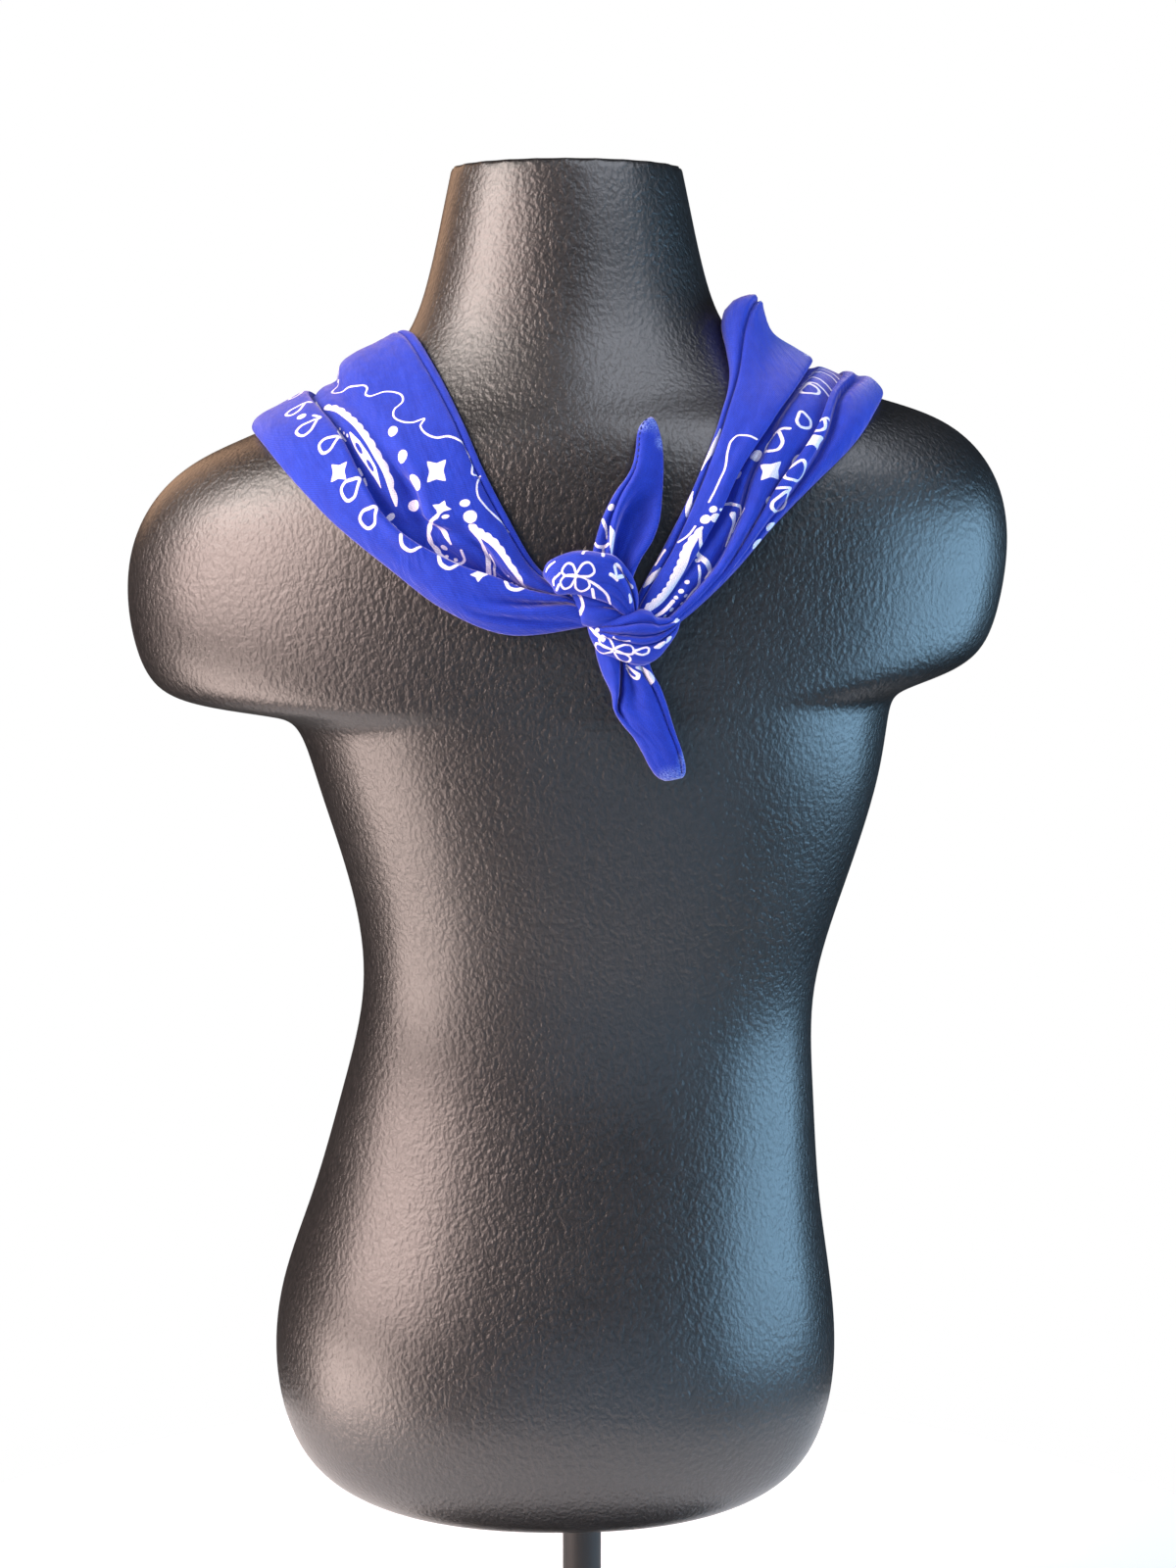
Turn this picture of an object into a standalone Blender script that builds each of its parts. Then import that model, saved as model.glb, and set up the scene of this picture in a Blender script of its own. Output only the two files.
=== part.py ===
"""A bandana tied round the neck of a limbless dress form on a short stand.

The form is one smooth loft through level sections. Each stretch of the cloth is a thin wall: a
section drawn through its folds is carried along two edge lines that lie on the form.
Sizes in the tables are millimetres. The knot is on the -Y side, and the form's front is +Y.
"""

import math

import bmesh
import bpy
from mathutils import Vector
from mathutils.bvhtree import BVHTree
from mathutils.interpolate import poly_3d_calc

MM = 0.001

# Driving sizes, in millimetres.
BASE_RADIUS = 150
BASE_THICKNESS = 10
BASE_EDGE_BEVEL = 2
STAND_X = 8
POLE_RADIUS = 11
FORM_BOTTOM = 194
GAP = 0.3
SEAM = 0.9
CLOTH = 1.0
BAND_REST = 1.8
TAIL_REST = 1.5
"""How far the middle of the lowest layer of cloth lies off the form, in a band and in a tail."""

FORM_POINTS = 24
"""Points round each section of the form, before it is subdivided."""

FORM_SECTIONS = (
    # z, half_width, back, front, centre_x, centre_y, roundness, tilt_degrees
    (FORM_BOTTOM, 98, 64, 60, -5, 0, 2.2, 0.0),
    (201, 122, 83, 72, -5, 0, 2.2, 0.0),
    (222, 150, 106, 86, -6, 0, 2.2, 0.0),
    (268, 162, 119, 93, -7, 0, 2.2, 0.0),
    (318, 158, 115, 96, -7, 0, 2.2, 0.0),
    (368, 143, 98, 98, -1, 0, 2.2, 0.0),
    (430, 133, 78, 93, 6, 0, 2.2, 0.0),
    (487, 123, 75, 90, 12, 0, 2.2, 0.0),
    (545, 137, 89, 95, 18, 0, 2.25, 0.5),
    (603, 156, 100, 107, 18, 0, 2.35, 1.2),
    (640, 162, 104, 112, 15, 0, 2.4, 1.7),
    (648, 172, 104, 112, 10, 0, 2.35, 2.2),
    (654, 208, 104, 111, 4, 0, 2.2, 2.5),
    (664, 230, 104, 110, 1, 0, 2.1, 2.8),
    (690, 239, 104, 107, 0, 0, 2.1, 3.0),
    (720, 243, 103, 102, 0, 0, 2.05, 3.2),
    (748, 239, 101, 96, 0, 0, 2.0, 3.3),
    (771, 226, 97, 89, 0, 0, 1.9, 3.3),
    (787, 207, 92, 83, 0, 0, 1.75, 3.3),
    (797, 183, 87, 78, 0, 0, 1.64, 3.3),
    (808, 150, 80, 73, 0, 1, 1.6, 3.1),
    (823, 114, 73, 68, 0, 2, 1.66, 2.4),
    (842, 86, 65, 64, 0, 6, 1.9, 1.2),
    (875, 75, 61, 63, 0, 13, 2.0, 0.3),
    (915, 67, 59, 62, 0, 20, 2.0, 0.0),
    (934, 63, 56, 59, 0, 23, 2.0, 0.0),
)

# The folded cloth round the neck. Its inner edge is the neck's side, its outer edge the shoulder's.
BAND_STATIONS = (
    # inner_x, inner_y, inner_z, outer_x, outer_y, outer_z
    (4, -105, 711, 13, -106, 697),
    (-2, -105, 714, 9, -106, 695),
    (-16, -104, 727, -28, -105, 691),
    (-30, -101, 751, -60, -102, 703),
    (-42, -94, 774, -89, -97, 724),
    (-53, -79, 798, -117, -88, 746),
    (-65, -57, 820, -140, -72, 768),
    (-78, -22, 841, -167, -14, 792),
    (-77, 12, 838, -156, 34, 785),
    (-60, 45, 832, -112, 78, 763),
    (-30, 68, 822, -58, 98, 744),
    (4, 76, 816, 5, 104, 736),
    (38, 68, 823, 68, 98, 746),
    (66, 45, 838, 120, 76, 768),
    (82, 16, 851, 158, 34, 797),
    (83, -15, 852, 168, -10, 810),
    (85, -51, 822, 157, -47, 800),
    (79, -77, 799, 143, -69, 785),
    (70, -91, 776, 121, -86, 762),
    (61, -98, 756, 103, -93, 744),
    (49, -102, 733, 83, -99, 720),
    (38, -104, 713, 60, -103, 699),
    (34, -104, 703, 48, -103, 693),
)

# Heights off the form across the band: the inner edge's top, eight folds, the outer edge's top.
BAND_SECTIONS = {
    # station: (inner_top, (place, height), ... , outer_top)
    0: (4.0, (0.1, 6), (0.24, 7), (0.38, 5), (0.5, 7.5), (0.62, 5.5), (0.73, 7), (0.84, 5.5), (0.92, 6), 4.0),
    1: (4.5, (0.1, 7), (0.24, 8), (0.38, 6), (0.5, 8.5), (0.62, 6.5), (0.73, 8), (0.84, 6), (0.92, 6.5), 4.5),
    2: (4.5, (0.08, 6.5), (0.2, 7.5), (0.34, 8), (0.46, 5), (0.58, 8.5), (0.7, 6), (0.82, 7.5), (0.92, 6.5), 4.5),
    4: (4.2, (0.07, 5.4), (0.13, 4), (0.27, 7), (0.4, 6.8), (0.55, 3.6), (0.64, 5.8), (0.7, 4), (0.8, 7), 4.8),
    7: (5.0, (0.06, 8), (0.14, 9.5), (0.28, 12.5), (0.41, 12), (0.5, 6), (0.58, 5.5), (0.655, 6), (0.76, 7.5), 6.5),
    11: (4.0, (0.07, 5.5), (0.16, 4.2), (0.3, 6.8), (0.42, 4.5), (0.55, 7), (0.66, 4.6), (0.78, 6.8), (0.9, 6), 4.4),
    15: (9.0, (-0.07, 17), (0.06, 23), (0.2, 19), (0.33, 11), (0.52, 10), (0.61, 5.5), (0.78, 9), (0.92, 9.5), 6.5),
    18: (4.5, (0.08, 6.4), (0.15, 4.2), (0.25, 8), (0.35, 7.5), (0.42, 3.2), (0.56, 5.5), (0.68, 4), (0.8, 7), 5.0),
    21: (4.5, (0.1, 7.5), (0.22, 6), (0.36, 8.5), (0.5, 7), (0.62, 8.5), (0.74, 6), (0.84, 8), (0.92, 6.5), 4.5),
    22: (4.0, (0.1, 6.5), (0.22, 5), (0.36, 7.5), (0.5, 6), (0.62, 7.5), (0.74, 5), (0.84, 7), (0.92, 6), 4.0),
}

# Where one stretch of the band ends and the next begins, as places along BAND_STATIONS.
BAND_STRETCHES = {"band_left": (0, 8), "band_front": (8, 14), "band_right": (14, 22)}
BAND_STEP = 11

# The knot's three wraps, each an arch of cloth over what it binds.
WRAPS = {
    "knot_upper_wrap": (
        # upper_x, upper_z, lower_x, lower_z, upper_height, lower_height, rise
        (-10.5, 720.7, -9.6, 718.4, 9, 9.5, 0.5),
        (-7.4, 725.2, -6, 713.3, 3.5, 11.5, 5),
        (-1.1, 729.5, -2.8, 711.1, 1.3, 12, 8),
        (9.1, 732.3, 4.6, 712.8, 1.6, 13, 9),
        (18.8, 730.4, 13.7, 709.9, 10.5, 13, 7),
        (27.3, 727, 21.6, 706.8, 12.5, 13, 6),
        (32.4, 720.1, 27.3, 704.3, 12, 13, 5),
        (35.4, 712.2, 30.4, 702, 11, 12, 3),
        (35.6, 706, 31.8, 701, 10.5, 11, 1),
    ),
    "knot_middle_wrap": (
        (3.8, 711.5, 5.2, 704.5, 9, 12, 0.5),
        (6.4, 712.3, 6.8, 700.5, 8.5, 12, 3),
        (11, 711.3, 10, 697.5, 8.5, 12, 4.5),
        (16.6, 709, 15.5, 696.5, 8.5, 11.5, 5),
        (22.6, 706.3, 21.5, 697.5, 8.5, 11.5, 4),
        (28.4, 703.6, 27.6, 699.5, 9, 11, 1.5),
    ),
    "knot_lower_wrap": (
        (15, 697, 12.5, 691, 8, 7, 0.5),
        (18.4, 698, 15, 686.5, 8, 5, 4),
        (25, 700.3, 21.6, 681, 7, 11, 5),
        (31.8, 701.5, 29.6, 677.6, 7.8, 12, 6),
        (36.4, 703, 36.4, 675.9, 9.5, 12, 7),
        (42.1, 701.5, 42.1, 676.5, 10.5, 10, 7),
        (47.8, 700, 47.2, 680.4, 11, 7, 6),
        (52.9, 699, 52.9, 686.7, 10.5, 2.4, 4),
        (56.5, 698.4, 56, 692, 10, 1.4, 1.5),
    ),
}
WRAP_ARCH_POINTS = 9
WRAP_STEP = 4

# The two free corners. Each is folded once: an under layer, a fold along one edge, an upper layer.
TAILS = {
    "tail_up": (
        # left_x, left_z, right_x, right_z, left_height, middle_height, right_height
        (18, 727, 33, 719, 6, 6, 5),
        (16, 735, 38, 729.5, 7, 6.5, 6),
        (20.5, 750, 44.5, 741, 9, 5.5, 8),
        (24, 760, 48, 754, 8.5, 5, 8),
        (29, 768, 49, 766, 7.5, 5, 7.5),
        (33.5, 778, 48.8, 776, 6.5, 6, 6),
        (36.3, 787, 48.3, 786, 5.5, 5.5, 5),
        (38.6, 794, 46.8, 794, 4.5, 4.8, 4),
        (41.2, 797, 44.6, 797, 4, 4, 4),
    ),
    "tail_down": (
        (38, 681, 21, 685, 5, 6, 5),
        (42, 671.5, 17.5, 677, 6, 7.5, 7),
        (46.5, 664, 20.5, 668.5, 7, 8, 7.5),
        (51, 655, 24.3, 658, 6.5, 6, 7),
        (54, 648, 25.5, 650, 6, 5, 6.5),
        (56.6, 641, 31, 643.5, 5.5, 5.5, 6),
        (59, 633, 37, 635, 5, 5.5, 5),
        (60.3, 625, 42, 626, 4.5, 5, 4.5),
        (59.7, 617.5, 48.6, 617, 4, 4.4, 4),
    ),
}
TAIL_STEP = 9


def clear_scene():
    for obj in list(bpy.data.objects):
        bpy.data.objects.remove(obj)


def collection(name):
    made = bpy.data.collections.new(name)
    bpy.context.scene.collection.children.link(made)
    return made


def material(name, colour, roughness, metallic=0.0):
    made = bpy.data.materials.new(name)
    made.use_nodes = True
    shader = made.node_tree.nodes["Principled BSDF"]
    shader.inputs["Base Color"].default_value = (*colour, 1)
    shader.inputs["Roughness"].default_value = roughness
    shader.inputs["Metallic"].default_value = metallic
    return made


def add_object(name, mesh, home, finish):
    obj = bpy.data.objects.new(name, mesh)
    home.objects.link(obj)
    mesh.materials.append(finish)
    mesh.shade_smooth()
    return obj


def disc(name, radius, bottom, top, home, finish, edge_bevel=0):
    """A round plate or bar that stands on the axis of the stand, between two heights."""
    shape = bmesh.new()
    bmesh.ops.create_cone(
        shape, cap_ends=True, segments=48, radius1=radius * MM, radius2=radius * MM, depth=(top - bottom) * MM
    )
    mesh = bpy.data.meshes.new(name)
    shape.to_mesh(mesh)
    shape.free()
    obj = add_object(name, mesh, home, finish)
    mesh.set_sharp_from_angle(angle=math.radians(40))
    obj.location = (STAND_X * MM, 0, (top + bottom) / 2 * MM)
    if edge_bevel:
        rounded = obj.modifiers.new("edge", "BEVEL")
        rounded.width = edge_bevel * MM
        rounded.segments = 1
    return obj


def section_ring(half_width, back, front, roundness):
    """Points round a level oval whose back and front differ in depth, as (x, y) in millimetres."""
    ring = []
    for i in range(FORM_POINTS):
        angle = 2 * math.pi * i / FORM_POINTS
        across, along = math.cos(angle), math.sin(angle)
        depth = front if along > 0 else back
        x = half_width * math.copysign(abs(across) ** (2 / roundness), across)
        y = depth * math.copysign(abs(along) ** (2 / roundness), along)
        ring.append((x, y))
    return ring


def build_form(home, finish):
    """The torso: a cage lofted through the sections, closed top and bottom, and subdivided once."""
    shape = bmesh.new()
    rings = []
    for z, half_width, back, front, centre_x, centre_y, roundness, tilt in FORM_SECTIONS:
        slope = math.tan(math.radians(tilt))
        rings.append(
            [
                shape.verts.new(((x + centre_x) * MM, (y + centre_y) * MM, (z + x * slope) * MM))
                for x, y in section_ring(half_width, back, front, roundness)
            ]
        )
    for lower, upper in zip(rings, rings[1:]):
        for i in range(FORM_POINTS):
            j = (i + 1) % FORM_POINTS
            shape.faces.new((lower[i], lower[j], upper[j], upper[i]))
    bottom = shape.faces.new(list(reversed(rings[0])))
    top = shape.faces.new(rings[-1])
    crease = shape.edges.layers.float.new("crease_edge")
    for cap in (bottom, top):
        for edge in cap.edges:
            edge[crease] = 0.7
    bmesh.ops.recalc_face_normals(shape, faces=shape.faces)
    mesh = bpy.data.meshes.new("dress_form")
    shape.to_mesh(mesh)
    shape.free()
    form = add_object("dress_form", mesh, home, finish)
    smooth = form.modifiers.new("smooth", "SUBSURF")
    smooth.levels = smooth.render_levels = 1
    return form


class Surface:
    """The form's skin, to find the point and the smooth normal nearest to a place given in millimetres."""

    def __init__(self, form):
        bpy.context.view_layer.update()
        self.mesh = form.evaluated_get(bpy.context.evaluated_depsgraph_get()).data
        points = [v.co.copy() for v in self.mesh.vertices]
        faces = [tuple(p.vertices) for p in self.mesh.polygons]
        self.points, self.faces = points, faces
        self.normals = [v.normal.copy() for v in self.mesh.vertices]
        self.tree = BVHTree.FromPolygons(points, faces)

    def nearest(self, place):
        found, _, face, _ = self.tree.find_nearest(place * MM)
        corners = self.faces[face]
        weights = poly_3d_calc([self.points[i] for i in corners], found)
        normal = Vector()
        for weight, i in zip(weights, corners):
            normal += weight * self.normals[i]
        return found / MM, normal.normalized()

    def facing_back(self, x, z):
        """The skin's point straight in front of someone who stands behind the form."""
        found = self.tree.ray_cast(Vector((x * MM, -1, z * MM)), Vector((0, 1, 0)))[0]
        return found / MM


def smooth_step(t):
    return t * t * (3 - 2 * t)


def through(points, t):
    """A smooth curve through the points (Catmull-Rom), at place t counted in points."""
    last = len(points) - 1
    i = min(int(t), last - 1)
    f = t - i
    before, here, there, after = (points[min(max(k, 0), last)] for k in (i - 1, i, i + 1, i + 2))
    return here + 0.5 * f * (
        (there - before)
        + f * ((2 * before - 5 * here + 4 * there - after) + f * (3 * (here - there) + after - before))
    )


def wall(name, rows, home, finish):
    """A closed wall of the cloth's thickness round the surface that the rows of points span."""
    shape = bmesh.new()
    grid = [[shape.verts.new(point * MM) for point in row] for row in rows]
    for row, next_row in zip(grid, grid[1:]):
        for i in range(len(row) - 1):
            shape.faces.new((row[i], row[i + 1], next_row[i + 1], next_row[i]))
    mesh = bpy.data.meshes.new(name)
    shape.to_mesh(mesh)
    shape.free()
    obj = add_object(name, mesh, home, finish)
    thick = obj.modifiers.new("thickness", "SOLIDIFY")
    thick.thickness = CLOTH * MM
    thick.offset = 0
    return obj


def lay_across(surface, inner, outer, section):
    """Points of one section: each lies over the line from the inner to the outer edge, off the form."""
    row = []
    for place, height in section:
        foot, normal = surface.nearest(inner.lerp(outer, place))
        row.append(foot + normal * height)
    return row


def turned_edges(inner_top, folds, outer_top):
    """The whole section: both edges turn under and come back along the form for a short way."""
    low = BAND_REST
    start = [(0.1, low), (0.02, low), (0.0, (low + inner_top) / 2), (0.02, inner_top)]
    end = [(0.98, outer_top), (1.0, (low + outer_top) / 2), (0.98, low), (0.9, low)]
    return [Vector(p) for p in start + list(folds) + end]


def band_section(t):
    """The band's section at place t along the stations, blended between the tabled ones."""
    keys = sorted(BAND_SECTIONS)
    after = min(k for k in keys if k >= t - 1e-9)
    before = max(k for k in keys if k <= t + 1e-9)
    share = smooth_step((t - before) / (after - before)) if after > before else 0
    sections = []
    for key in (before, after):
        inner_top, *folds, outer_top = BAND_SECTIONS[key]
        sections.append(turned_edges(inner_top, folds, outer_top))
    blended = [a.lerp(b, share) for a, b in zip(*sections)]
    last = len(blended) - 1
    places = [0, 1, 2, 3] + [3 + k / 2 for k in range(1, 2 * (last - 6))] + [last - 3, last - 2, last - 1, last]
    return [tuple(through(blended, p)) for p in places]


def evenly(first, last, step, length):
    """Places from first to last, about step apart along a stretch of the given length."""
    count = max(2, round(length / step))
    return [first + (last - first) * k / count for k in range(count + 1)]


def build_bands(surface, home, finish):
    inner = [Vector(row[:3]) for row in BAND_STATIONS]
    outer = [Vector(row[3:]) for row in BAND_STATIONS]
    for name, (first, last) in BAND_STRETCHES.items():
        middle = [(a + b) / 2 for a, b in zip(inner, outer)]
        length = sum((middle[i + 1] - middle[i]).length for i in range(first, last))
        seam = SEAM / 2 / length * (last - first)
        rows = [
            lay_across(surface, through(inner, t), through(outer, t), band_section(t))
            for t in evenly(first + seam, last - seam, BAND_STEP, length)
        ]
        wall(name, rows, home, finish)


def build_wrap(name, table, surface, home, finish):
    """A wrap of the knot: its two edges lie at their own heights and its middle rises between them."""
    upper = [surface.facing_back(row[0], row[1]) for row in table]
    lower = [surface.facing_back(row[2], row[3]) for row in table]
    heights = [Vector(row[4:]) for row in table]
    length = sum((upper[i + 1] - upper[i]).length for i in range(len(table) - 1))
    rows = []
    for t in evenly(0, len(table) - 1, WRAP_STEP, length):
        upper_height, lower_height, rise = through(heights, t)
        section = []
        for k in range(WRAP_ARCH_POINTS):
            place = k / (WRAP_ARCH_POINTS - 1)
            arch = rise * math.sin(math.pi * place) ** 0.7
            section.append((place, upper_height + (lower_height - upper_height) * place + arch))
        rows.append(lay_across(surface, through(upper, t), through(lower, t), section))
    wall(name, rows, home, finish)


def build_tail(name, table, surface, home, finish):
    """A free corner of the cloth: the first edge is open, and the second is the fold."""
    left = [surface.facing_back(row[0], row[1]) for row in table]
    right = [surface.facing_back(row[2], row[3]) for row in table]
    heights = [Vector(row[4:]) for row in table]
    length = sum((left[i + 1] - left[i]).length for i in range(len(table) - 1))
    low = TAIL_REST
    rows = []
    for t in evenly(0, len(table) - 1, TAIL_STEP, length):
        open_edge, middle, fold = through(heights, t)
        section = [(0, open_edge), (0.2, (open_edge + middle) / 2), (0.5, middle), (0.8, (fold + middle) / 2)]
        section += [(0.95, fold), (1, (fold + low) / 2), (0.95, low), (0.75, low), (0.5, low), (0.12, low)]
        rows.append(lay_across(surface, through(left, t), through(right, t), section))
    wall(name, rows, home, finish)


def main():
    clear_scene()
    home = collection("bandana_on_dress_form")
    black = material("black_texture_coat", (0.02, 0.02, 0.022), 0.45)
    steel = material("black_powder_coated_steel", (0.015, 0.015, 0.015), 0.5)
    cotton = material("blue_printed_cloth", (0.035, 0.05, 0.62), 0.6)
    form = build_form(home, black)
    disc("stand_base", BASE_RADIUS, 0, BASE_THICKNESS, home, steel, BASE_EDGE_BEVEL)
    disc("stand_pole", POLE_RADIUS, BASE_THICKNESS + GAP, FORM_BOTTOM - GAP, home, steel)
    surface = Surface(form)
    build_bands(surface, home, cotton)
    for name, table in WRAPS.items():
        build_wrap(name, table, surface, home, cotton)
    for name, table in TAILS.items():
        build_tail(name, table, surface, home, cotton)


main()
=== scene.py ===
import itertools
import math

import bmesh
import bpy
import numpy as np
from mathutils import Matrix, Vector
from mathutils.bvhtree import BVHTree
from mathutils.geometry import delaunay_2d_cdt
from mathutils.interpolate import poly_3d_calc


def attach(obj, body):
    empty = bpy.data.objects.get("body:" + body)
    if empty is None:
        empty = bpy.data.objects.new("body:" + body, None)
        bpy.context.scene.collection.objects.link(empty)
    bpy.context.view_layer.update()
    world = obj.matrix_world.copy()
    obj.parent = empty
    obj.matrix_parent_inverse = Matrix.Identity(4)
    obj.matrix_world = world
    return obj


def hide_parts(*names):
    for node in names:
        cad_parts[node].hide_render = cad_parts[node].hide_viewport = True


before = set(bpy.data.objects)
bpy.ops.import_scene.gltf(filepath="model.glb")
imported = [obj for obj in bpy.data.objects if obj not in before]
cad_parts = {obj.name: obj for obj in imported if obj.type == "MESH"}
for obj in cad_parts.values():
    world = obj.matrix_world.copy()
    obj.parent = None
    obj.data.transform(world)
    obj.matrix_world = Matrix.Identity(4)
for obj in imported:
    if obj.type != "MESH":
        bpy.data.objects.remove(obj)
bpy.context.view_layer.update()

MM = 0.001

# ---- Stand ----
# A round steel plate carries a steel tube that holds the form up. Both are powder-coated black:
# the baked powder leaves a fine orange peel, so its gloss is soft and a little broken.


def srgb(code):
    """The linear colour that a hex sRGB code stands for."""
    shares = [int(code[i : i + 2], 16) / 255 for i in (1, 3, 5)]
    return (*[s / 12.92 if s <= 0.04045 else ((s + 0.055) / 1.055) ** 2.4 for s in shares], 1.0)


def node(tree, kind, links=(), stops=(), **settings):
    """Adds a shader node. Settings are its own, links gives each socket a value or the output of
    another node, and stops are a colour ramp's positions and hex colours."""
    made = tree.nodes.new(kind)
    for name, value in settings.items():
        setattr(made, name, value)
    for i, (position, colour) in enumerate(stops):
        made.color_ramp.elements[i].position = position
        made.color_ramp.elements[i].color = srgb(colour)
    for socket, value in dict(links).items():
        if isinstance(value, bpy.types.NodeSocket):
            tree.links.new(value, made.inputs[socket])
        else:
            made.inputs[socket].default_value = value
    return made


def new_material(name):
    """An empty material and its node tree."""
    made = bpy.data.materials.new(name)
    made.use_nodes = True
    made.node_tree.nodes.clear()
    return made, made.node_tree


def finish_material(tree, settings):
    """Gives a material's tree its shader, with these settings, and its output."""
    shader = node(tree, "ShaderNodeBsdfPrincipled", settings)
    node(tree, "ShaderNodeOutputMaterial", {"Surface": shader.outputs["BSDF"]})


def black_powder_coated_steel():
    """Polyester powder baked on steel: satin, with a peel of bumps about 1.2 mm apart."""
    made, tree = new_material("black_powder_coated_steel")
    place = node(tree, "ShaderNodeTexCoord").outputs["Object"]
    peel = node(tree, "ShaderNodeTexNoise", {"Vector": place, "Scale": 1 / (1.2 * MM), "Detail": 2.0})
    wear = node(tree, "ShaderNodeTexNoise", {"Vector": place, "Scale": 1 / (60 * MM), "Detail": 4.0})
    wear_range = {"Value": wear.outputs["Fac"], "To Min": 0.42, "To Max": 0.56}
    rough = node(tree, "ShaderNodeMapRange", wear_range)
    peel_depth = {"Height": peel.outputs["Fac"], "Strength": 0.25, "Distance": 0.12 * MM}
    bump = node(tree, "ShaderNodeBump", peel_depth)
    settings = {
        "Base Color": srgb("#141415"),
        "Roughness": rough.outputs["Result"],
        "IOR": 1.5,
        "Normal": bump.outputs["Normal"],
    }
    finish_material(tree, settings)
    return made


steel = black_powder_coated_steel()
for name in ("stand_base", "stand_pole"):
    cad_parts[name].data.materials.clear()
    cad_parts[name].data.materials.append(steel)


# ---- Dress form ----
# A hollow moulded torso with a closed neck and shoulder caps, sprayed with black texture paint.
# The dried paint stands up in leathery wrinkles about 2 mm apart that catch small glints.

FORM_POINTS = 24
FORM_SUBDIVISIONS = 3
RIM_CREASE = 0.7
FORM_SECTIONS = (
    # z, half_width, back, front, centre_x, centre_y, roundness, tilt_degrees
    (194, 98, 64, 60, -5, 0, 2.2, 0.0),
    (201, 122, 83, 72, -5, 0, 2.2, 0.0),
    (222, 150, 106, 86, -6, 0, 2.2, 0.0),
    (268, 162, 119, 93, -7, 0, 2.2, 0.0),
    (318, 158, 115, 96, -7, 0, 2.2, 0.0),
    (368, 143, 98, 98, -1, 0, 2.2, 0.0),
    (430, 133, 78, 93, 6, 0, 2.2, 0.0),
    (487, 123, 75, 90, 12, 0, 2.2, 0.0),
    (545, 137, 89, 95, 18, 0, 2.25, 0.5),
    (603, 156, 100, 107, 18, 0, 2.35, 1.2),
    (640, 162, 104, 112, 15, 0, 2.4, 1.7),
    (648, 172, 104, 112, 10, 0, 2.35, 2.2),
    (654, 208, 104, 111, 4, 0, 2.2, 2.5),
    (664, 230, 104, 110, 1, 0, 2.1, 2.8),
    (690, 239, 104, 107, 0, 0, 2.1, 3.0),
    (720, 243, 103, 102, 0, 0, 2.05, 3.2),
    (748, 239, 101, 96, 0, 0, 2.0, 3.3),
    (771, 226, 97, 89, 0, 0, 1.9, 3.3),
    (787, 207, 92, 83, 0, 0, 1.75, 3.3),
    (797, 183, 87, 78, 0, 0, 1.64, 3.3),
    (808, 150, 80, 73, 0, 1, 1.6, 3.1),
    (823, 114, 73, 68, 0, 2, 1.66, 2.4),
    (842, 86, 65, 64, 0, 6, 1.9, 1.2),
    (875, 75, 61, 63, 0, 13, 2.0, 0.3),
    (915, 67, 59, 62, 0, 20, 2.0, 0.0),
    (934, 63, 56, 59, 0, 23, 2.0, 0.0),
)


def black_texture_paint():
    """Textured alkyd paint: near black, half gloss, in wrinkles about 2 mm apart, drawn out a little
    down the form."""
    made, tree = new_material("black_texture_paint")
    place = node(tree, "ShaderNodeTexCoord").outputs["Object"]
    drawn_out = node(tree, "ShaderNodeMapping", {"Vector": place, "Scale": (1.0, 1.0, 0.8)})
    drawn_out = drawn_out.outputs["Vector"]
    stir = node(tree, "ShaderNodeTexNoise", {"Vector": drawn_out, "Scale": 1 / (6 * MM), "Detail": 2.0})
    reach = {0: stir.outputs["Color"], 1: (1.2 * MM,) * 3}
    shift = node(tree, "ShaderNodeVectorMath", reach, operation="MULTIPLY")
    both = {0: drawn_out, 1: shift.outputs["Vector"]}
    stirred = node(tree, "ShaderNodeVectorMath", both, operation="ADD").outputs["Vector"]
    wrinkle_size = {"Vector": stirred, "Scale": 1 / (2.3 * MM), "Detail": 2.0, "Roughness": 0.45}
    wrinkles = node(tree, "ShaderNodeTexNoise", wrinkle_size).outputs["Fac"]
    swells = node(tree, "ShaderNodeTexNoise", {"Vector": place, "Scale": 1 / (30 * MM), "Detail": 2.0})
    swells = swells.outputs["Fac"]
    height = node(tree, "ShaderNodeMath", {0: swells, 1: 0.6, 2: wrinkles}, operation="MULTIPLY_ADD")
    depth = {"Height": height.outputs["Value"], "Strength": 0.9, "Distance": 0.9 * MM}
    bump = node(tree, "ShaderNodeBump", depth)
    rough = node(tree, "ShaderNodeMapRange", {"Value": swells, "To Min": 0.36, "To Max": 0.46})
    # The paint is coloured darker down in the wrinkles' hollows than on their ridges: painted shade in
    # the hollows.
    shades = ((0.35, "#0f0f10"), (0.75, "#232122"))
    tone = node(tree, "ShaderNodeValToRGB", {"Fac": wrinkles}, shades)
    settings = {
        "Base Color": tone.outputs["Color"],
        "Roughness": rough.outputs["Result"],
        "IOR": 1.6,
        "Coat Weight": 0.6,
        "Coat Roughness": 0.3,
        "Normal": bump.outputs["Normal"],
    }
    finish_material(tree, settings)
    return made


def section_ring(half_width, back, front, roundness):
    """Points round a level oval whose back and front differ in depth, as (x, y) in millimetres."""
    ring = []
    for i in range(FORM_POINTS):
        angle = 2 * math.pi * i / FORM_POINTS
        across, along = math.cos(angle), math.sin(angle)
        depth = front if along > 0 else back
        x = half_width * math.copysign(abs(across) ** (2 / roundness), across)
        y = depth * math.copysign(abs(along) ** (2 / roundness), along)
        ring.append((x, y))
    return ring


def add_object(name, data):
    """A new object in the scene."""
    obj = bpy.data.objects.new(name, data)
    bpy.context.scene.collection.objects.link(obj)
    return obj


def smooth_object(name, mesh, finishes):
    """An object that shows a mesh, smooth-shaded, in these finishes."""
    mesh.shade_smooth()
    for finish in finishes:
        mesh.materials.append(finish)
    return add_object(name, mesh)


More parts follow.
